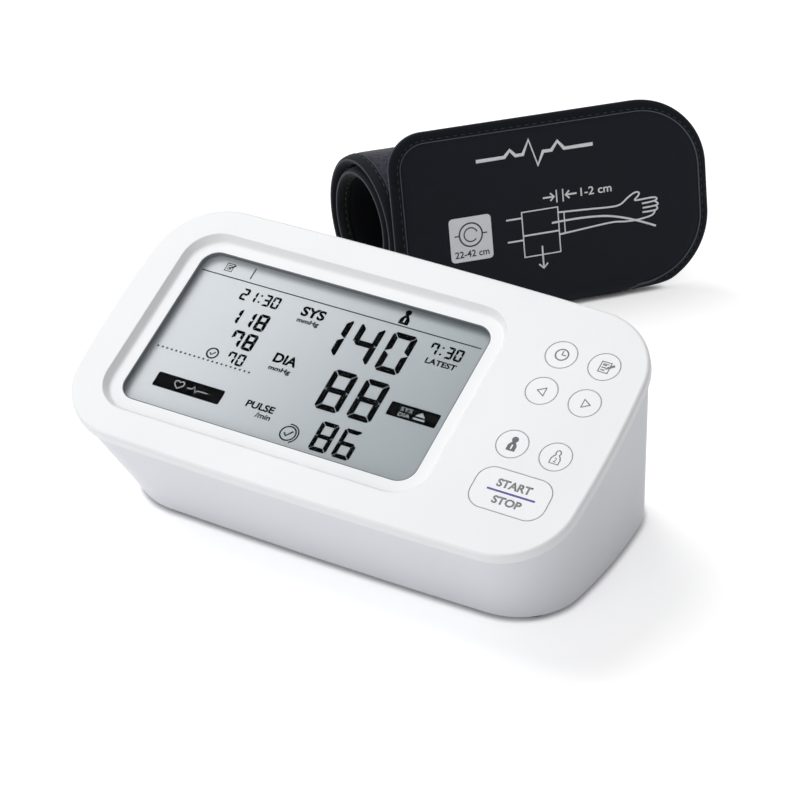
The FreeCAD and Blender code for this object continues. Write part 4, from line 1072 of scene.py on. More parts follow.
@dataclass
class Display:
    """Figures, signs and border of the liquid crystal display."""

    panel: PanelPlane
    finishes: Finishes
    view_x: float = -19.9
    view_y: float = 1.2
    view_width: float = 113.8
    view_length: float = 66.4
    view_corner: float = 6.5
    corner_facets: int = 12
    border: float = 0.35
    border_top: float = 2.75
    border_foot: float = 4.25
    face_depth: float = 5.49

    def build(self) -> None:
        """Build every piece of the display."""
        self.dress()
        self.build_border()
        self.build_figures()
        self.build_fine_signs()
        self.build_reversed_signs()

    def dress(self) -> None:
        """Give the display's CAD pieces their finishes."""
        dress("display_window", self.finishes.clear_window)
        dress("lcd_panel", self.finishes.reflector)
        dress("lcd_frame", self.finishes.black_plastic)
        dress("lcd_connectors", self.finishes.contact_rubber)

    def lay(
        self, ink: Stencil, name: str, material: bpy.types.Material, slot: str, rise: float = 0.0
    ) -> None:
        """Lay one print on the display's face.

        Args:
            ink: the print's stencil.
            name: the piece's name.
            material: its finish.
            slot: the record's material slot.
            rise: height over the face.
        """
        report(ink.lay(name, self.panel.at(self.face_depth - rise), material), Body.MONITOR, slot)

    def build_border(self) -> None:
        """Line the view opening's wall with a dark grey strip: painted shade that stands for the shadow in
        the gap round the window.
        """
        rim = Stencil(self.border_foot - self.border_top)
        half_x = self.view_width / 2
        half_y = self.view_length / 2
        corners = ((-1, -1), (1, -1), (1, 1), (-1, 1))
        outline = [(self.view_x + x * half_x, self.view_y + y * half_y) for x, y in corners]
        rim.polygon(outline, self.view_corner, self.corner_facets)
        middle = rim.flat.faces[:]
        bmesh.ops.inset_region(
            rim.flat, faces=middle, thickness=self.border, use_boundary=True, use_even_offset=True
        )
        bmesh.ops.delete(rim.flat, geom=middle, context="FACES")
        piece = rim.lay("display_border", self.panel.at(self.border_foot), self.finishes.painted_shade_lining)
        report(piece, Body.MONITOR, "black_plastic")

    def build_figures(self) -> None:
        """Build the black figures, words and bars."""
        ink = Stencil()
        great = Digit(9.3, 16.8, 2.25)
        middling = Digit(6.8, 12.0, 1.65, 0.12)
        small = Digit(4.2, 7.1, 1.2, 0.08)
        tiny = Digit(2.9, 5.0, 0.82, 0.06)
        for numerals, size, low, rights in (
            ("140", great, 7.8, (-12.9, -0.6, 11.7)),
            ("88", great, -12.9, (-0.6, 11.7)),
            ("86", middling, -28.7, (3.0, 11.8)),
            ("118", small, 9.3, (-52.5, -47.2, -41.9)),
            ("78", small, 0.5, (-47.2, -41.9)),
            ("70", tiny, -6.2, (-45.6, -41.9)),
            ("2130", tiny, 19.6, (-54.4, -51.1, -45.4, -41.9)),
            ("730", tiny, 19.6, (20.1, 26.0, 29.5)),
        ):
            for numeral, right in zip(numerals, rights):
                for points in size.shapes(numeral, right, low):
                    ink.polygon(points)
        for x in (-49.6, 21.6):
            for y in (20.6, 23.4):
                ink.disc(x, y, 0.4)
        for words, left, low, right, high, weight in (
            ("SYS", -32.9, 20.2, -23.8, 24.4, 0.036),
            ("DIA", -32.7, -0.5, -23.8, 3.5, 0.036),
            ("PULSE", -32.6, -20.1, -21.8, -17.3, 0.03),
            ("LATEST", 17.9, 15.9, 29.4, 18.2, 0.028),
            ("mmHg", -32.8, 16.9, -24.3, 19.3, 0.03),
            ("mmHg", -32.6, -4.3, -24.2, -1.9, 0.03),
            ("/min", -27.4, -23.0, -21.6, -20.8, 0.02),
        ):
            ink.words(words, left, low, right, high, weight)
        ink.bar(-68.4, -22.8, -41.9, -16.9, 0.6)
        ink.bar(14.9, -7.4, 33.4, -1.8, 0.5)
        ink.disc(3.4, 33.0, 1.15)
        bust = [(1.6, 28.0), (5.3, 28.0), (5.3, 30.0), (4.6, 31.2),
                (3.9, 32.0), (2.9, 32.0), (2.3, 31.2), (1.6, 30.0)]
        ink.polygon(bust, 0.25)
        self.lay(ink, "display_figures", self.finishes.segment, "black_plastic")

    def build_fine_signs(self) -> None:
        """Build the thin grey rules, dots and small signs."""
        ink = Stencil()
        ink.bar(-76.3, 27.0, 34.0, 27.4)
        ink.bar(-57.6, 28.7, -57.2, 33.4)
        for step in range(21):
            ink.disc(-74.6 + step * 1.83, -7.3, 0.38)
        ink.ring(-54.4, -4.1, 2.05, 0.62)
        ink.stroke([(-55.3, -4.1), (-54.6, -4.8), (-53.4, -3.4)], 0.55)
        ink.ring(-12.9, -25.3, 2.8, 0.55)
        ink.ring(-12.9, -25.3, 3.7, 0.5, -62.0, 165.0)
        ink.stroke([(-14.3, -25.3), (-13.3, -26.4), (-11.4, -24.1)], 0.7)
        ink.stroke([(-68.4, 29.4), (-65.6, 29.4), (-65.6, 32.6), (-68.4, 32.6)], 0.4, closed=True)
        for y in (30.2, 31.0, 31.8):
            ink.bar(-67.9, y - 0.14, -66.2, y + 0.14)
        ink.stroke([(-66.9, 30.5), (-65.0, 32.3)], 0.6)
        self.lay(ink, "display_fine_signs", self.finishes.faint_segment, "black_plastic")

    def build_reversed_signs(self) -> None:
        """Build the pale signs that stand on the black bars and on the bust."""
        ink = Stencil(0.03)
        heart = [(-59.0, -21.4), (-57.2, -19.8), (-57.3, -18.6), (-58.3, -18.2), (-59.0, -18.9)]
        heart += [(-118.0 - x, y) for x, y in heart[-2:0:-1]]
        ink.stroke(heart, 0.34, closed=True)
        pulse = [(-55.6, -20.0), (-53.8, -20.0), (-53.1, -18.7),
                 (-52.1, -21.1), (-51.4, -20.0), (-47.4, -20.0)]
        ink.stroke(pulse, 0.3)
        ink.words("SYS", 19.1, -4.4, 23.4, -2.9)
        ink.words("DIA", 19.1, -6.6, 23.4, -5.1)
        ink.polygon([(25.0, -4.9), (28.8, -4.9), (26.9, -3.1)])
        ink.bar(24.8, -6.3, 29.0, -5.6)
        ink.words("1", 3.15, 28.8, 3.75, 30.6)
        self.lay(ink, "display_reversed_signs", self.finishes.reflector, "display_glass", FILM)


@dataclass
class Keypad:
    """Printed signs of the seven flush keys, in panel millimetres."""

    panel: PanelPlane
    finishes: Finishes
    proud: float = 0.005
    spots: tuple[tuple[float, float], ...] = (
        (63.4, 30.1), (79.0, 30.1), (63.4, 14.7), (79.0, 14.7), (63.4, -7.65), (79.0, -7.65),
    )
    radius: float = 5.25
    slit: float = 0.4
    liner: float = 0.34
    liner_depth: float = 0.32
    start_spot: tuple[float, float] = (71.2, -25.3)
    start_width: float = 26.4
    start_length: float = 15.6
    start_corner: float = 5.6
    corner_steps: int = 8

    def build(self) -> None:
        """Dress the keys, lay a grey strip of painted shade in their slits and print their signs."""
        for key in ("clock", "memo", "back", "forward", "user_one", "user_two", "start"):
            dress(key + "_button", self.finishes.key_shell)
        self.build_liner()
        self.build_clock()
        self.build_memo()
        self.build_arrows()
        self.build_users()
        self.build_start()

    def lay(self, ink: Stencil, name: str, material: bpy.types.Material, body: Body) -> None:
        """Lay one sign on its key.

        Args:
            ink: the sign's stencil.
            name: the piece's name.
            material: the ink.
            body: the key that carries it.
        """
        report(ink.lay(name, self.panel.at(-self.proud), material), body, "white_shell")

    def build_liner(self) -> None:
        """Build the grey strip in the slit round each key: painted shade that stands for the slit's shadow.
        """
        seal = Stencil(0.2)
        for x, y in self.spots:
            seal.ring(x, y, self.radius + self.slit / 2, self.liner)
        half_x = (self.start_width + self.slit) / 2
        half_y = (self.start_length + self.slit) / 2
        corner = self.start_corner + self.slit / 2
        outline = []
        for turn in range(4):
            across = half_x - corner if turn in (0, 3) else corner - half_x
            up = half_y - corner if turn < 2 else corner - half_y
            for step in range(self.corner_steps + 1):
                angle = math.pi / 2 * (turn + step / self.corner_steps)
                outline.append((
                    self.start_spot[0] + across + corner * math.cos(angle),
                    self.start_spot[1] + up + corner * math.sin(angle),
                ))
        seal.stroke(outline, self.liner, closed=True)
        piece = seal.lay("key_slit_shade", self.panel.at(self.liner_depth), self.finishes.key_slit_shade)
        report(piece, Body.MONITOR, "foot_rubber")

    def build_clock(self) -> None:
        """Print a clock face."""
        ink = Stencil()
        ink.ring(63.55, 30.15, 2.2, 0.5)
        ink.stroke([(63.55, 31.7), (63.55, 30.15), (65.0, 30.15)], 0.5)
        self.lay(ink, "clock_sign", self.finishes.key_print, Body.CLOCK)

    def build_memo(self) -> None:
        """Print a written page with a pencil."""
        ink = Stencil()
        ink.stroke([(77.5, 27.9), (80.9, 27.9), (80.9, 32.1), (77.5, 32.1)], 0.5, closed=True)
        for y in (28.8, 29.8, 30.8):
            ink.bar(78.1, y - 0.22, 79.6, y + 0.22)
        ink.bar(78.1, 31.15, 80.3, 31.45)
        ink.polygon([(79.6, 29.2), (80.4, 29.5), (82.5, 31.1), (82.0, 31.8), (79.9, 30.2)])
        self.lay(ink, "memo_sign", self.finishes.key_print, Body.MEMO)

    def build_arrows(self) -> None:
        """Print the two outlined arrows."""
        ink = Stencil()
        ink.stroke([(61.9, 14.6), (64.6, 12.95), (64.6, 16.25)], 0.72, closed=True)
        self.lay(ink, "back_sign", self.finishes.key_print, Body.BACK)
        ink = Stencil()
        ink.stroke([(81.0, 14.5), (78.4, 16.15), (78.4, 12.85)], 0.72, closed=True)
        self.lay(ink, "forward_sign", self.finishes.key_print, Body.FORWARD)

    def build_users(self) -> None:
        """Print a filled bust and an outlined one, each with its number."""
        ink = Stencil()
        ink.disc(63.65, -5.8, 1.15)
        bust = [(62.1, -10.3), (65.2, -10.3), (65.2, -8.2), (64.6, -7.2),
                (64.1, -6.7), (63.2, -6.7), (62.7, -7.2), (62.1, -8.2)]
        ink.polygon(bust, 0.2)
        self.lay(ink, "user_one_sign", self.finishes.dark_print, Body.USER_ONE)
        ink = Stencil(0.03)
        ink.words("1", 63.4, -9.7, 63.9, -7.9)
        report(
            ink.lay("user_one_number", self.panel.at(-self.proud - FILM), self.finishes.key_shell),
            Body.USER_ONE, "white_shell",
        )
        ink = Stencil()
        bust = [(77.7, -10.3), (80.9, -10.3), (80.9, -8.4), (80.4, -7.4), (79.9, -6.9), (80.2, -6.2),
                (80.0, -5.4), (79.3, -5.0), (78.6, -5.4), (78.4, -6.2), (78.7, -6.9), (78.2, -7.4),
                (77.7, -8.4)]
        ink.stroke(bust, 0.42, closed=True)
        ink.words("2", 78.8, -9.7, 79.8, -7.9)
        self.lay(ink, "user_two_sign", self.finishes.key_print, Body.USER_TWO)

    def build_start(self) -> None:
        """Print the start and stop words and the line between them."""
        ink = Stencil()
        ink.words("START", 65.2, -24.1, 77.5, -21.0, 0.032)
        ink.words("STOP", 66.4, -30.4, 76.6, -27.4, 0.032)
        self.lay(ink, "start_words", self.finishes.start_print, Body.START)
        ink = Stencil()
        ink.bar(62.9, -26.05, 80.1, -25.35, 0.2)
        self.lay(ink, "start_line", self.finishes.accent_print, Body.START)


@dataclass
class Console:
    """Casing, power and air pieces of the desk unit."""

    finishes: Finishes
    dressed: dict[str, str] = field(default_factory=lambda: {
        "top_case": "white_shell", "bottom_case": "tub_shell", "battery_cover": "tub_shell",
        "main_board": "board", "board_screws": "steel", "case_screws": "steel",
        "tact_switches": "black_plastic", "pressure_sensor": "steel", "rubber_feet": "foot_rubber",
        "battery_cells": "cell",
        "battery_contacts": "steel", "battery_springs": "spring_steel", "pump_motor": "steel",
        "pump_head": "black_plastic", "pump_cradle": "foot_rubber", "exhaust_valve": "black_plastic",
        "air_manifold": "black_plastic", "air_jack": "black_plastic", "dc_jack": "black_plastic",
        "air_tubes": "tube",
    })

    def build(self) -> None:
        """Give every CAD piece its finish."""
        for node, finish in self.dressed.items():
            dress(node, getattr(self.finishes, finish))


@dataclass
class Cuff:
    """The arm cuff: a band of cloth wound up from its inner end, with its free end folded up in front."""

    finishes: Finishes
    anchor_x: float = 1.2
    anchor_y: float = 162.3
    heading: float = 47.5
    skew: float = 9.0
    left: float = 84.5
    width: float = 128.7
    thick: float = 4.2
    pitch: float = 5.0
    cloth: float = 0.8
    roll_radius: float = 27.2
    roll_foot: float = 28.4
    flap_height: float = 77.0
    flap_lean: float = 11.0
    fold_radius: float = 2.6
    quarters: int = 7
    tail: float = 40.0
    tape: float = 4.3
    corner_left: float = 14.0
    corner_right: float = 29.5
    corner_low: float = 30.0
    notch: float = 4.0
    corner_inner: float = 6.0
    print_end: float = 96.0
    tuck: float = 0.5
    table_gap: float = 0.01
    row_pitch: float = 1.1
    columns: int = 96
    seam_depth: float = 0.45
    seam_width: float = 1.1
    swell: float = 0.168
    swell_reach: float = 7.0
    ripples: tuple[tuple[float, float, float], ...] = ((0.07, 11.0, 23.0), (0.05, -17.0, 9.0))
    ripple_reach: float = 10.0
    tape_pitch: float = 1.3
    tape_step: float = 0.9
    weld: float = 0.01
    stitch_pitch: float = 3.2
    stitch_half: float = 1.15
    stitch_inset: float = 2.95
    stitch_sink: float = 0.24
    thread_radius: float = 0.19
    print_grain: float = 3.0
    runs: list[tuple[float, float]] = field(init=False)
    length: float = field(init=False)
    start: Vector = field(init=False)
    first_way: float = field(init=False)
    ground: float = field(init=False)
    roll_edge: float = field(init=False)
    hem: float = field(init=False)
    along: Vector = field(init=False)
    deep: Vector = field(init=False)
    corner: Vector = field(init=False)

    def __post_init__(self) -> None:
        """Work out the band's route as straight runs and left-hand arcs, from the free end inwards."""
        half = self.thick / 2
        lean = math.radians(self.flap_lean)
        fold = self.fold_radius
        straight = (self.flap_height - half - fold * (1 + math.sin(lean))) / math.cos(lean)
        step = self.pitch / 4
        front = self.roll_foot + step - (self.roll_radius + self.pitch / 2) / math.cos(lean)
        at_fold = front - (self.roll_radius - fold) * math.tan(lean)
        fold_centre = at_fold + fold / math.cos(lean)
        quarter = math.pi / 2
        self.runs = [(straight, 0.0), (fold, quarter + lean), (self.roll_foot - fold_centre, 0.0)]
        self.runs += [(self.roll_radius - step * turn, quarter) for turn in range(self.quarters)]
        self.runs.append((self.roll_radius - step * self.quarters, math.radians(self.tail)))
        self.length = sum(reach * turn if turn else reach for reach, turn in self.runs)
        self.start = Vector((
            fold_centre - fold * math.cos(lean) + math.sin(lean) * straight,
            half + fold * (1 + math.sin(lean)) + math.cos(lean) * straight,
        ))
        self.first_way = -quarter - lean
        self.ground = (self.flap_height - half * math.sin(lean)) / math.cos(lean)
        self.roll_edge = self.width - self.corner_low - self.notch
        self.hem = self.tape - self.tuck
        way = math.radians(self.heading)
        slant = math.radians(self.heading + self.skew)
        self.along = Vector((math.cos(way), math.sin(way), 0.0))
        self.deep = Vector((-math.sin(slant), math.cos(slant), 0.0))
        self.corner = Vector((self.anchor_x, self.anchor_y, 0.0)) - self.along * self.left

    def station(self, distance: float) -> tuple[Vector, Vector]:
        """Find a place on the band's middle line.

        Args:
            distance: millimetres from the free end.

        Returns:
            The place and the outward direction in the section's plane.
        """
        place = self.start.copy()
        way = self.first_way
        left = distance
        for reach, turn in self.runs:
            length = reach * turn if turn else reach
            inward = Vector((-math.sin(way), math.cos(way)))
            step = min(left, length) if (reach, turn) != self.runs[-1] else left
            if turn:
                centre = place + inward * reach
                angle = step / reach
                arm = Matrix.Rotation(angle, 2) @ -inward
                place = centre + arm * reach
                way += angle
            else:
                place = place + Vector((math.cos(way), math.sin(way))) * step
            left -= step
            if left <= 0:
                break
        return place, Vector((math.sin(way), -math.cos(way)))

    def spot(self, distance: float, across: float, lift: float) -> Vector:
        """Find a scene point on or near the band, which lies flat where it rests on the table.

        Args:
            distance: millimetres from the free end.
            across: millimetres from the left edge.
            lift: millimetres out of the middle line, positive on the outside.

        Returns:
            The point in metres.
        """
        place, outward = self.station(distance)
        place = place + outward * lift
        rise = Vector((0.0, 0.0, max(place.y, self.table_gap)))
        return (self.corner + self.along * across + self.deep * place.x + rise) * MM

    def edge_inset(self, distance: float, across: float) -> float:
        """Measure how far a point of the flat band lies inside its outline.

        Args:
            distance: millimetres from the free end.
            across: millimetres from the left edge.

        Returns:
            The distance to the nearest edge.
        """
        inset = min(distance, across, self.width - across, self.length - distance)
        right = self.width - across
        for far, side, radius in (
            (distance, across, self.corner_left), (distance, right, self.corner_right),
            (self.ground - distance, right, self.corner_low),
        ):
            if far < radius and side < radius:
                inset = min(inset, radius - math.hypot(radius - far, radius - side))
        beside = self.roll_edge + self.notch - across
        above = self.ground + self.notch - distance
        if beside > 0 and above > 0:
            return min(inset, math.hypot(beside, above) - self.notch)
        return min(inset, max(beside, above) - self.notch)

    def margins(self, distance: float) -> tuple[float, float]:
        """Find the two side edges of the band's cloths at one distance, tucked under the tape.

        Args:
            distance: millimetres from the free end.

        Returns:
            The left and the right edge, in millimetres from the left edge of the whole band.
        """
        found = []
        for radius, far in (
            (self.corner_left, distance), (self.corner_right, distance),
            (self.corner_low, self.ground - distance),
        ):
            short = max(radius - far, 0.0)
            bend = radius - self.hem
            found.append(radius - math.sqrt(max(bend * bend - short * short, 0.0)))
        right = self.width - max(found[1:])
        if distance > self.ground - self.hem:
            rise = max(self.ground + self.notch - distance, 0.0)
            bend = self.notch + self.hem
            right = self.roll_edge + self.notch - math.sqrt(max(bend * bend - rise * rise, 0.0))
        return found[0], right

    def relief(self, distance: float, across: float) -> float:
        """Shape the cloth's surface: it dips into the tape's seam and swells a little beyond it.

        Args:
            distance: millimetres from the free end.
            across: millimetres from the left edge.

        Returns:
            Extra lift in millimetres.
        """
        inset = self.edge_inset(distance, across) - self.tape
        inside = max(inset, 0.0)
        dip = -self.seam_depth * math.exp(-((inset / self.seam_width) ** 2))
        swell = self.swell * (1 - math.exp(-inside / self.swell_reach))
        wave = sum(depth * math.sin(distance / along + across / over) for depth, along, over in self.ripples)
        return dip + swell + wave * min(inside / self.ripple_reach, 1.0)

    def sheet(
        self, name: str, first: float, last: float, side: Side, material: bpy.types.Material
    ) -> bpy.types.Object:
        """Build one cloth of the band as a gridded sheet with a thickness.

        Args:
            name: the piece's name.
            first: where it starts, in millimetres from the free end.
            last: where it ends.
            side: the band's face that it covers.
            material: its finish.

        Returns:
            The new object.
        """
        rows = round((last - first) / self.row_pitch)
        shape = bmesh.new()
        bmesh.ops.create_grid(shape, x_segments=rows, y_segments=self.columns, size=0.5)
        shape.verts.index_update()
        flat: dict[int, tuple[float, float]] = {}
        for vert in shape.verts:
            share = vert.co.x + 0.5
            # Rows lie closer together at the free end, whose corners are round.
            share = share * share * (2 - share) if first < self.print_end else share
            distance = first + (last - first) * share
            low, high = self.margins(distance)
            across = low + (high - low) * (vert.co.y + 0.5)
            flat[vert.index] = (across, distance)
            lift = side.value * (self.thick / 2 + self.relief(distance, across))
            vert.co = self.spot(distance, across, lift)
        map_flat(shape, flat)
        bmesh.ops.recalc_face_normals(shape, faces=shape.faces[:])
        piece = put_in_scene(name, shape, material)
        self.face_outwards(piece, side)
        thickness = piece.modifiers.new("cloth_thickness", "SOLIDIFY")
        thickness.thickness = self.cloth * MM
        thickness.offset = -1.0
        return piece

    def face_outwards(self, piece: bpy.types.Object, side: Side) -> None:
        """Turn a sheet's faces to the side of the band that it covers.

        Args:
            piece: the sheet.
            side: the band's face.
        """
        face = piece.data.polygons[len(piece.data.polygons) // 2]
        uv = piece.data.uv_layers[0].data[face.loop_indices[0]].uv
        way = self.spot(uv.y, uv.x, 1.0) - self.spot(uv.y, uv.x, 0.0)
        if face.normal.dot(way) * side.value < 0:
            piece.data.flip_normals()

    def outline(self, distance: float) -> tuple[float, float, float, float]:
        """Walk round the band's flat outline.

        Args:
            distance: millimetres walked from the free end's left corner, towards the right.

        Returns:
            Distance from the free end, distance across, and the two parts of the inward direction.
        """
        place = Vector((0.0, self.corner_left))
        way = math.pi / 2
        left = distance
        for side, bend in self.outline_runs():
            step = min(left, side)
            place = place + Vector((math.cos(way), math.sin(way))) * step
            left -= step
            if left <= 0:
                break
            inward = Vector((math.sin(way), -math.cos(way)))
            angle = min(left / abs(bend), math.pi / 2)
            turn = -math.copysign(angle, bend)
            centre = place + inward * bend
            place = centre + Matrix.Rotation(turn, 2) @ (-inward) * bend
            way += turn
            left -= angle * abs(bend)
            if left <= 1e-9:
                break
        return place.x, place.y, math.sin(way), -math.cos(way)

    def outline_runs(self) -> list[tuple[float, float]]:
        """List the straight sides of the flat outline, each with the bend after it.

        Returns:
            Lengths and bend radii; the one negative radius bends outwards, where the roll meets the free end.
        """
        inner = self.corner_inner
        return [
            (self.width - self.corner_left - self.corner_right, self.corner_right),
            (self.ground - self.corner_right - self.corner_low, self.corner_low),
            (0.0, -self.notch),
            (self.length - self.ground - self.notch - inner, inner),
            (self.roll_edge - 2 * inner, inner),
            (self.length - inner - self.corner_left, self.corner_left),
        ]

    def outline_length(self) -> float:
        """Length of the band's whole outline."""
        return sum(side + abs(bend) * math.pi / 2 for side, bend in self.outline_runs())

    def build_tape(self) -> bpy.types.Object:
        """Build the binding tape that is folded over the whole edge and sewn down.

        Returns:
            The tape's object.
        """
        # Distance from the band's edge and depth under its face, from the sewn selvedge to the fold.
        face = (
            (self.tape, 0.75), (self.tape - 0.1, 0.2), (self.tape - 0.45, 0.02), (3.4, 0.12),
            (2.95, 0.42), (2.55, 0.3), (2.0, 0.4), (1.2, 0.68), (0.55, 1.0), (0.15, 1.45),
        )
        outer = [(inset, self.thick / 2 - depth) for inset, depth in face]
        profile = [*outer, (0.0, 0.0), *[(inset, -lift) for inset, lift in reversed(outer)]]
        whole = self.outline_length()
        steps = round(whole / self.tape_pitch)
        shape = bmesh.new()
        bmesh.ops.create_grid(shape, x_segments=steps, y_segments=len(profile) - 1, size=0.5)
        shape.verts.index_update()
        flat: dict[int, tuple[float, float]] = {}
        for vert in shape.verts:
            walked = (vert.co.x + 0.5) * whole
            index = round((vert.co.y + 0.5) * (len(profile) - 1))
            inset, lift = profile[index]
            distance, across, in_far, in_across = self.outline(walked % whole)
            flat[vert.index] = (walked, index * self.tape_step)
            vert.co = self.spot(distance + in_far * inset, across + in_across * inset, lift)
        map_flat(shape, flat)
        bmesh.ops.remove_doubles(shape, verts=shape.verts[:], dist=self.weld * MM)
        bmesh.ops.recalc_face_normals(shape, faces=shape.faces[:])
        return put_in_scene("cuff_edge_tape", shape, self.finishes.binding)

    def build_stitches(self) -> bpy.types.Object:
        """Sew the tape down with a row of lock stitches on each face.

        Returns:
            The stitches as one object.
        """
        shape = bmesh.new()
        whole = self.outline_length()
        count = round(whole / self.stitch_pitch)
        inset = self.stitch_inset
        thread = self.thread_radius * MM
        for index in range(count):
            walked = whole * index / count
            for side in Side:
                ends = []
                for reach in (-self.stitch_half, self.stitch_half):
                    distance, across, in_far, in_across = self.outline((walked + reach) % whole)
                    lift = side.value * (self.thick / 2 - self.stitch_sink)
                    ends.append(self.spot(distance + in_far * inset, across + in_across * inset, lift))
                middle = (ends[0] + ends[1]) / 2
                way = ends[1] - ends[0]
                turn = way.to_track_quat("X", "Z").to_matrix().to_4x4()
                size = Matrix.Diagonal((way.length / 2, thread, thread, 1.0))
                bmesh.ops.create_icosphere(
                    shape, subdivisions=1, radius=1.0, matrix=Matrix.Translation(middle) @ turn @ size
                )
        for polygon in shape.faces:
            polygon.smooth = True
        return put_in_scene("cuff_stitches", shape, self.finishes.thread)

    def on_flap(self, film: float) -> Place:
        """Give the way from print points to scene points on the flap's face.

        Args:
            film: lift of the print over the cloth.

        Returns:
            A function from a print point, across and up in millimetres, to a scene point.
        """
        def place(spot: Vector) -> Vector:
            """Turn one print point into a scene point."""
            distance = (self.flap_height - spot.y) / math.cos(math.radians(self.flap_lean))
            lift = self.thick / 2 + self.relief(distance, spot.x) + film + spot.z
            return self.spot(distance, spot.x, lift)

        return place

    def lay(self, ink: Stencil, name: str, lift: float, material: bpy.types.Material) -> None:
        """Lay one print on the flap.

        Args:
            ink: the print's stencil.
            name: the piece's name.
            lift: its height over the cloth.
            material: the ink.
        """
        report(ink.lay(name, self.on_flap(lift), material, self.print_grain), Body.CUFF, "printed_cloth")

    def build_prints(self) -> None:
        """Print the size square, the wrapping guide and a pulse line on the flap."""
        ink = Stencil(0.04)
        ink.bar(21.1, 24.6, 38.1, 42.1, 1.6)
        self.lay(ink, "cuff_size_square", 0.02, self.finishes.cloth_print)
        ink = Stencil(0.04)
        ink.ring(29.6, 35.0, 4.6, 0.6)
        ink.ring(29.6, 35.0, 2.7, 0.5, 20.0, 300.0)
        ink.stroke([(23.0, 35.0), (25.0, 35.0)], 0.5)
        ink.stroke([(34.2, 35.0), (36.2, 35.0)], 0.5)
        ink.words("22-42 cm", 22.7, 26.2, 36.5, 28.9, 0.015)
        self.lay(ink, "cuff_size_signs", 0.07, self.finishes.dark_cloth_print)
        self.lay(self.guide_stencil(), "cuff_wrap_guide", 0.02, self.finishes.cloth_print)

    def guide_stencil(self) -> Stencil:
        """Draw a sleeve on an arm, its air tube, the gap to the elbow and a pulse line.

        Returns:
            The drawing's stencil.
        """
        ink = Stencil()
        line = 0.72
        ink.stroke([(50.7, 22.5), (50.7, 40.4), (65.5, 40.4), (65.5, 22.5)], line, closed=True)
        ink.stroke([(44.2, 38.2), (50.7, 38.2)], line)
        ink.stroke([(44.2, 29.4), (50.7, 29.4)], line)
        ink.stroke([(50.7, 31.0), (65.5, 31.0)], line)
        for curve in (
            ((65.5, 38.2), (78.0, 37.6), (88.0, 36.9), (91.5, 37.3), (94.5, 39.8), (97.6, 41.5), (99.4, 41.1),
             (99.0, 39.8), (96.6, 38.0), (100.0, 38.1), (105.6, 38.3), (106.8, 37.4), (105.6, 36.5),
             (100.2, 36.4)),
            ((105.6, 36.5), (107.4, 35.5), (106.0, 34.6), (100.4, 34.6)),
            ((106.0, 34.6), (107.0, 33.6), (105.4, 32.7), (100.2, 32.9)),
            ((105.4, 32.7), (105.2, 31.4), (102.0, 30.6), (97.0, 30.1), (92.5, 30.3), (88.0, 31.0),
             (78.0, 30.3), (65.5, 29.4)),
        ):
            ink.stroke(curve, line, smooth=True)
        ink.stroke([(62.7, 34.4), (76.7, 35.0), (92.7, 32.6), (105.5, 26.6)], 0.85, smooth=True)
        ink.stroke([(67.9, 29.6), (67.9, 38.0)], 0.5)
        ink.stroke([(58.1, 26.0), (58.1, 17.0)], line)
        ink.stroke([(56.3, 18.9), (58.1, 17.0), (59.9, 18.9)], line)
        for tick in (65.4, 68.0):
            ink.stroke([(tick, 42.2), (tick, 47.2)], 0.55)
        for start, end, barb in ((59.8, 64.4, -1.6), (73.6, 69.0, 1.6)):
            ink.stroke([(start, 44.7), (end, 44.7)], line)
            ink.stroke([(end + barb, 46.2), (end, 44.7), (end + barb, 43.2)], line)
        ink.words("1-2 cm", 75.2, 43.2, 88.0, 46.5, 0.015)
        pulse = [(34.0, 63.0), (45.5, 63.0), (47.8, 65.4), (50.0, 63.0), (53.0, 63.0), (55.6, 68.4),
                 (58.8, 58.0), (61.2, 63.0), (64.6, 63.0), (67.2, 66.2), (69.8, 63.0), (81.5, 63.0)]
        ink.stroke(pulse, 1.5)
        return ink

    def build(self) -> None:
        """Dress the cuff's inner CAD pieces, and build the soft ones that stand for the rest."""
        dress("cuff_tube_port", self.finishes.black_plastic)
        dress("cuff_curler", self.finishes.curler)
        dress("cuff_bladder", self.finishes.bladder)
        dress("cuff_hook_patch", self.finishes.hook_tape)
        end = self.length - self.hem
        printed = self.sheet(
            "cuff_printed_cloth", self.hem, self.print_end, Side.OUTER, self.finishes.printed_cloth
        )
        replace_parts(report(printed, Body.CUFF, "printed_cloth"), "cuff_print_panel")
        loop = self.sheet("cuff_loop_pile", self.print_end, end, Side.OUTER, self.finishes.loop_pile)
        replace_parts(report(loop, Body.CUFF, "loop_cloth"), "cuff_loop_cloth")
        lining = self.sheet("cuff_lining", self.hem, end, Side.INNER, self.finishes.lining)
        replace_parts(report(lining, Body.CUFF, "lining_cloth"), "cuff_inner_cloth")
        tape = self.build_tape()
        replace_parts(report(tape, Body.CUFF, "edge_tape"), "cuff_binding")
        report(self.build_stitches(), Body.CUFF, "edge_tape")
        self.build_prints()
        self.declare(printed, loop, lining)

    def flat_area(self, first: float, last: float) -> float:
        """Measure a cloth of the band as it was cut, before it was wound.

        Args:
            first: where it starts, in millimetres from the free end.
            last: where it ends.

        Returns:
            The area in square millimetres.
        """
        steps = round(last - first)
        stride = (last - first) / steps
        edges = (self.margins(first + stride * (step + 0.5)) for step in range(steps))
        return sum((high - low) * stride for low, high in edges)

    def declare(self, *cloths: bpy.types.Object) -> None:
        """Args:
            cloths: the outer printed, the outer loop and the inner cloth.
        """
        full = self.width - 2 * self.hem
        end = self.length - self.hem
        cuts = (
            (full, self.hem, self.print_end), (self.roll_edge - 2 * self.hem, self.print_end, end),
            (full, self.hem, end),
        )
        for cloth, (wide, first, last) in zip(cloths, cuts):
            self.flat_area(first, last) * MM * MM


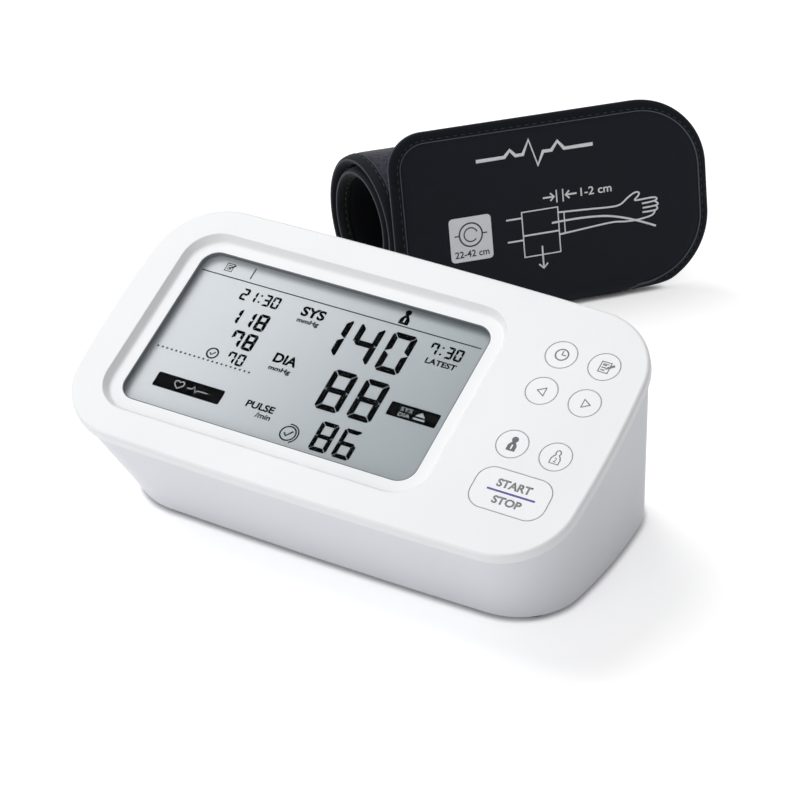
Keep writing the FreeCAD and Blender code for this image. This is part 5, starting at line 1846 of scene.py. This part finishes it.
@dataclass
class Studio:
    """Pale floor, soft lights and the camera."""

    eye: tuple[float, float, float] = (403.45, -720.12, 560.29)
    azimuth: float = 29.14
    elevation: float = 32.32
    focal: float = 2831.0
    frame_side: float = 800.0
    sensor: float = 36.0
    contact: float = 2.6
    floor_lift: float = 0.47
    sky: float = 0.37
    floor_half: float = 6.0
    paper: str = "f6f6f7"
    white: str = "ffffff"
    target: tuple[float, float, float] = (-0.02, 0.0, 0.04)

    def build(self) -> None:
        """Set up floor, world, lamps and camera."""
        self.build_floor()
        self.build_world()
        self.build_lamps()
        self.build_camera()
        bpy.context.scene.view_settings.view_transform = "Standard"

    def build_floor(self) -> None:
        """Lay a large pale floor that looks white to the camera and keeps the shadow."""
        shape = bmesh.new()
        bmesh.ops.create_grid(shape, x_segments=1, y_segments=1, size=self.floor_half)
        material, tree = new_material("white_studio_paper")
        paper = add(tree, "BsdfDiffuse", {"Color": linear(self.paper)})
        # Ambient occlusion holds back the floor's glow near the pieces, which paints a dark contact shade
        # where they stand.
        open_sky = add(tree, "AmbientOcclusion", {"samples": 8, "Distance": self.contact * MM})
        lift = add(
            tree, "MapRange", {"From Min": 0.45, "From Max": 0.95, "To Min": 0.0, "To Max": self.floor_lift},
            {"Value": open_sky.outputs["AO"]},
        )
        share = add(
            tree, "Math", {"operation": "MULTIPLY"}, {0: self.seen_rays(tree).outputs[0], 1: lift.outputs[0]}
        )
        glow = add(tree, "Emission", {"Color": linear(self.white)}, {"Strength": share.outputs[0]})
        both = add(tree, "AddShader", links={0: paper.outputs[0], 1: glow.outputs[0]})
        close_material(tree, both)
        floor = put_in_scene("studio_floor", shape, material)

    def seen_rays(self, tree: bpy.types.NodeTree) -> bpy.types.Node:
        """Tell the rays that show the background, straight, mirrored or through glass, from those that light.

        Args:
            tree: the node tree to add to.

        Returns:
            A node whose output is 1 for such rays and otherwise 0.
        """
        path = add(tree, "LightPath")
        mirrored = add(
            tree, "Math", {"operation": "MAXIMUM"},
            {0: path.outputs["Is Glossy Ray"], 1: path.outputs["Is Transmission Ray"]},
        )
        return add(
            tree, "Math", {"operation": "MAXIMUM"},
            {0: path.outputs["Is Camera Ray"], 1: mirrored.outputs[0]},
        )

    def build_world(self) -> None:
        """Light the scene from all round, with a white background."""
        world = bpy.data.worlds.new("studio_world")
        bpy.context.scene.world = world
        world.use_nodes = True
        tree = world.node_tree
        tree.nodes.clear()
        strength = add(
            tree, "MapRange", {"To Min": self.sky, "To Max": 1.0}, {"Value": self.seen_rays(tree).outputs[0]}
        )
        sky = add(
            tree, "Background", {"Color": linear(self.white)}, {"Strength": strength.outputs[0]}
        )
        add(tree, "OutputWorld", links={"Surface": sky.outputs[0]})

    def build_lamps(self) -> None:
        """Hang a large soft lamp over the left and a weaker one in front."""
        self.lamp("key_lamp", (-1.35, 0.1, 2.3), 1.8, 38.0)
        self.lamp("front_lamp", (-0.45, -1.8, 0.45), 1.2, 9.5)

    def lamp(self, name: str, spot: tuple[float, float, float], side: float, power: float) -> None:
        """Add one square area lamp that faces the object.

        Args:
            name: the lamp's name.
            spot: its place in metres.
            side: its side in metres.
            power: its power in watts.
        """
        light = bpy.data.lights.new(name, "AREA")
        light.size = side
        light.energy = power
        holder = bpy.data.objects.new(name, light)
        holder.location = spot
        aim = Vector(self.target) - Vector(spot)
        holder.rotation_euler = aim.to_track_quat("-Z", "Y").to_euler()
        bpy.context.scene.collection.objects.link(holder)

    def build_camera(self) -> None:
        """Place the camera at the picture's angle."""
        data = bpy.data.cameras.new("studio_camera")
        data.sensor_width = self.sensor
        data.lens = self.focal / self.frame_side * self.sensor
        data.clip_start = 0.05
        data.clip_end = 50.0
        camera = bpy.data.objects.new("studio_camera", data)
        turn = math.radians(self.azimuth)
        rise = math.radians(self.elevation)
        back = Vector((math.sin(turn) * math.cos(rise), -math.cos(turn) * math.cos(rise), math.sin(rise)))
        camera.location = Vector(self.eye) * MM
        camera.rotation_euler = (-back).to_track_quat("-Z", "Y").to_euler()
        bpy.context.scene.collection.objects.link(camera)
        bpy.context.scene.camera = camera


def main() -> None:
    """Build the studio, the console and the cuff in order."""
    logging.basicConfig(level=logging.INFO, format="%(name)s: %(message)s")
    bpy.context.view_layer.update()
    finishes = Finishes()
    panel = PanelPlane()
    Studio().build()
    Console(finishes).build()
    Display(panel, finishes).build()
    Keypad(panel, finishes).build()
    Cuff(finishes).build()


if __name__ == "__main__":
    main()
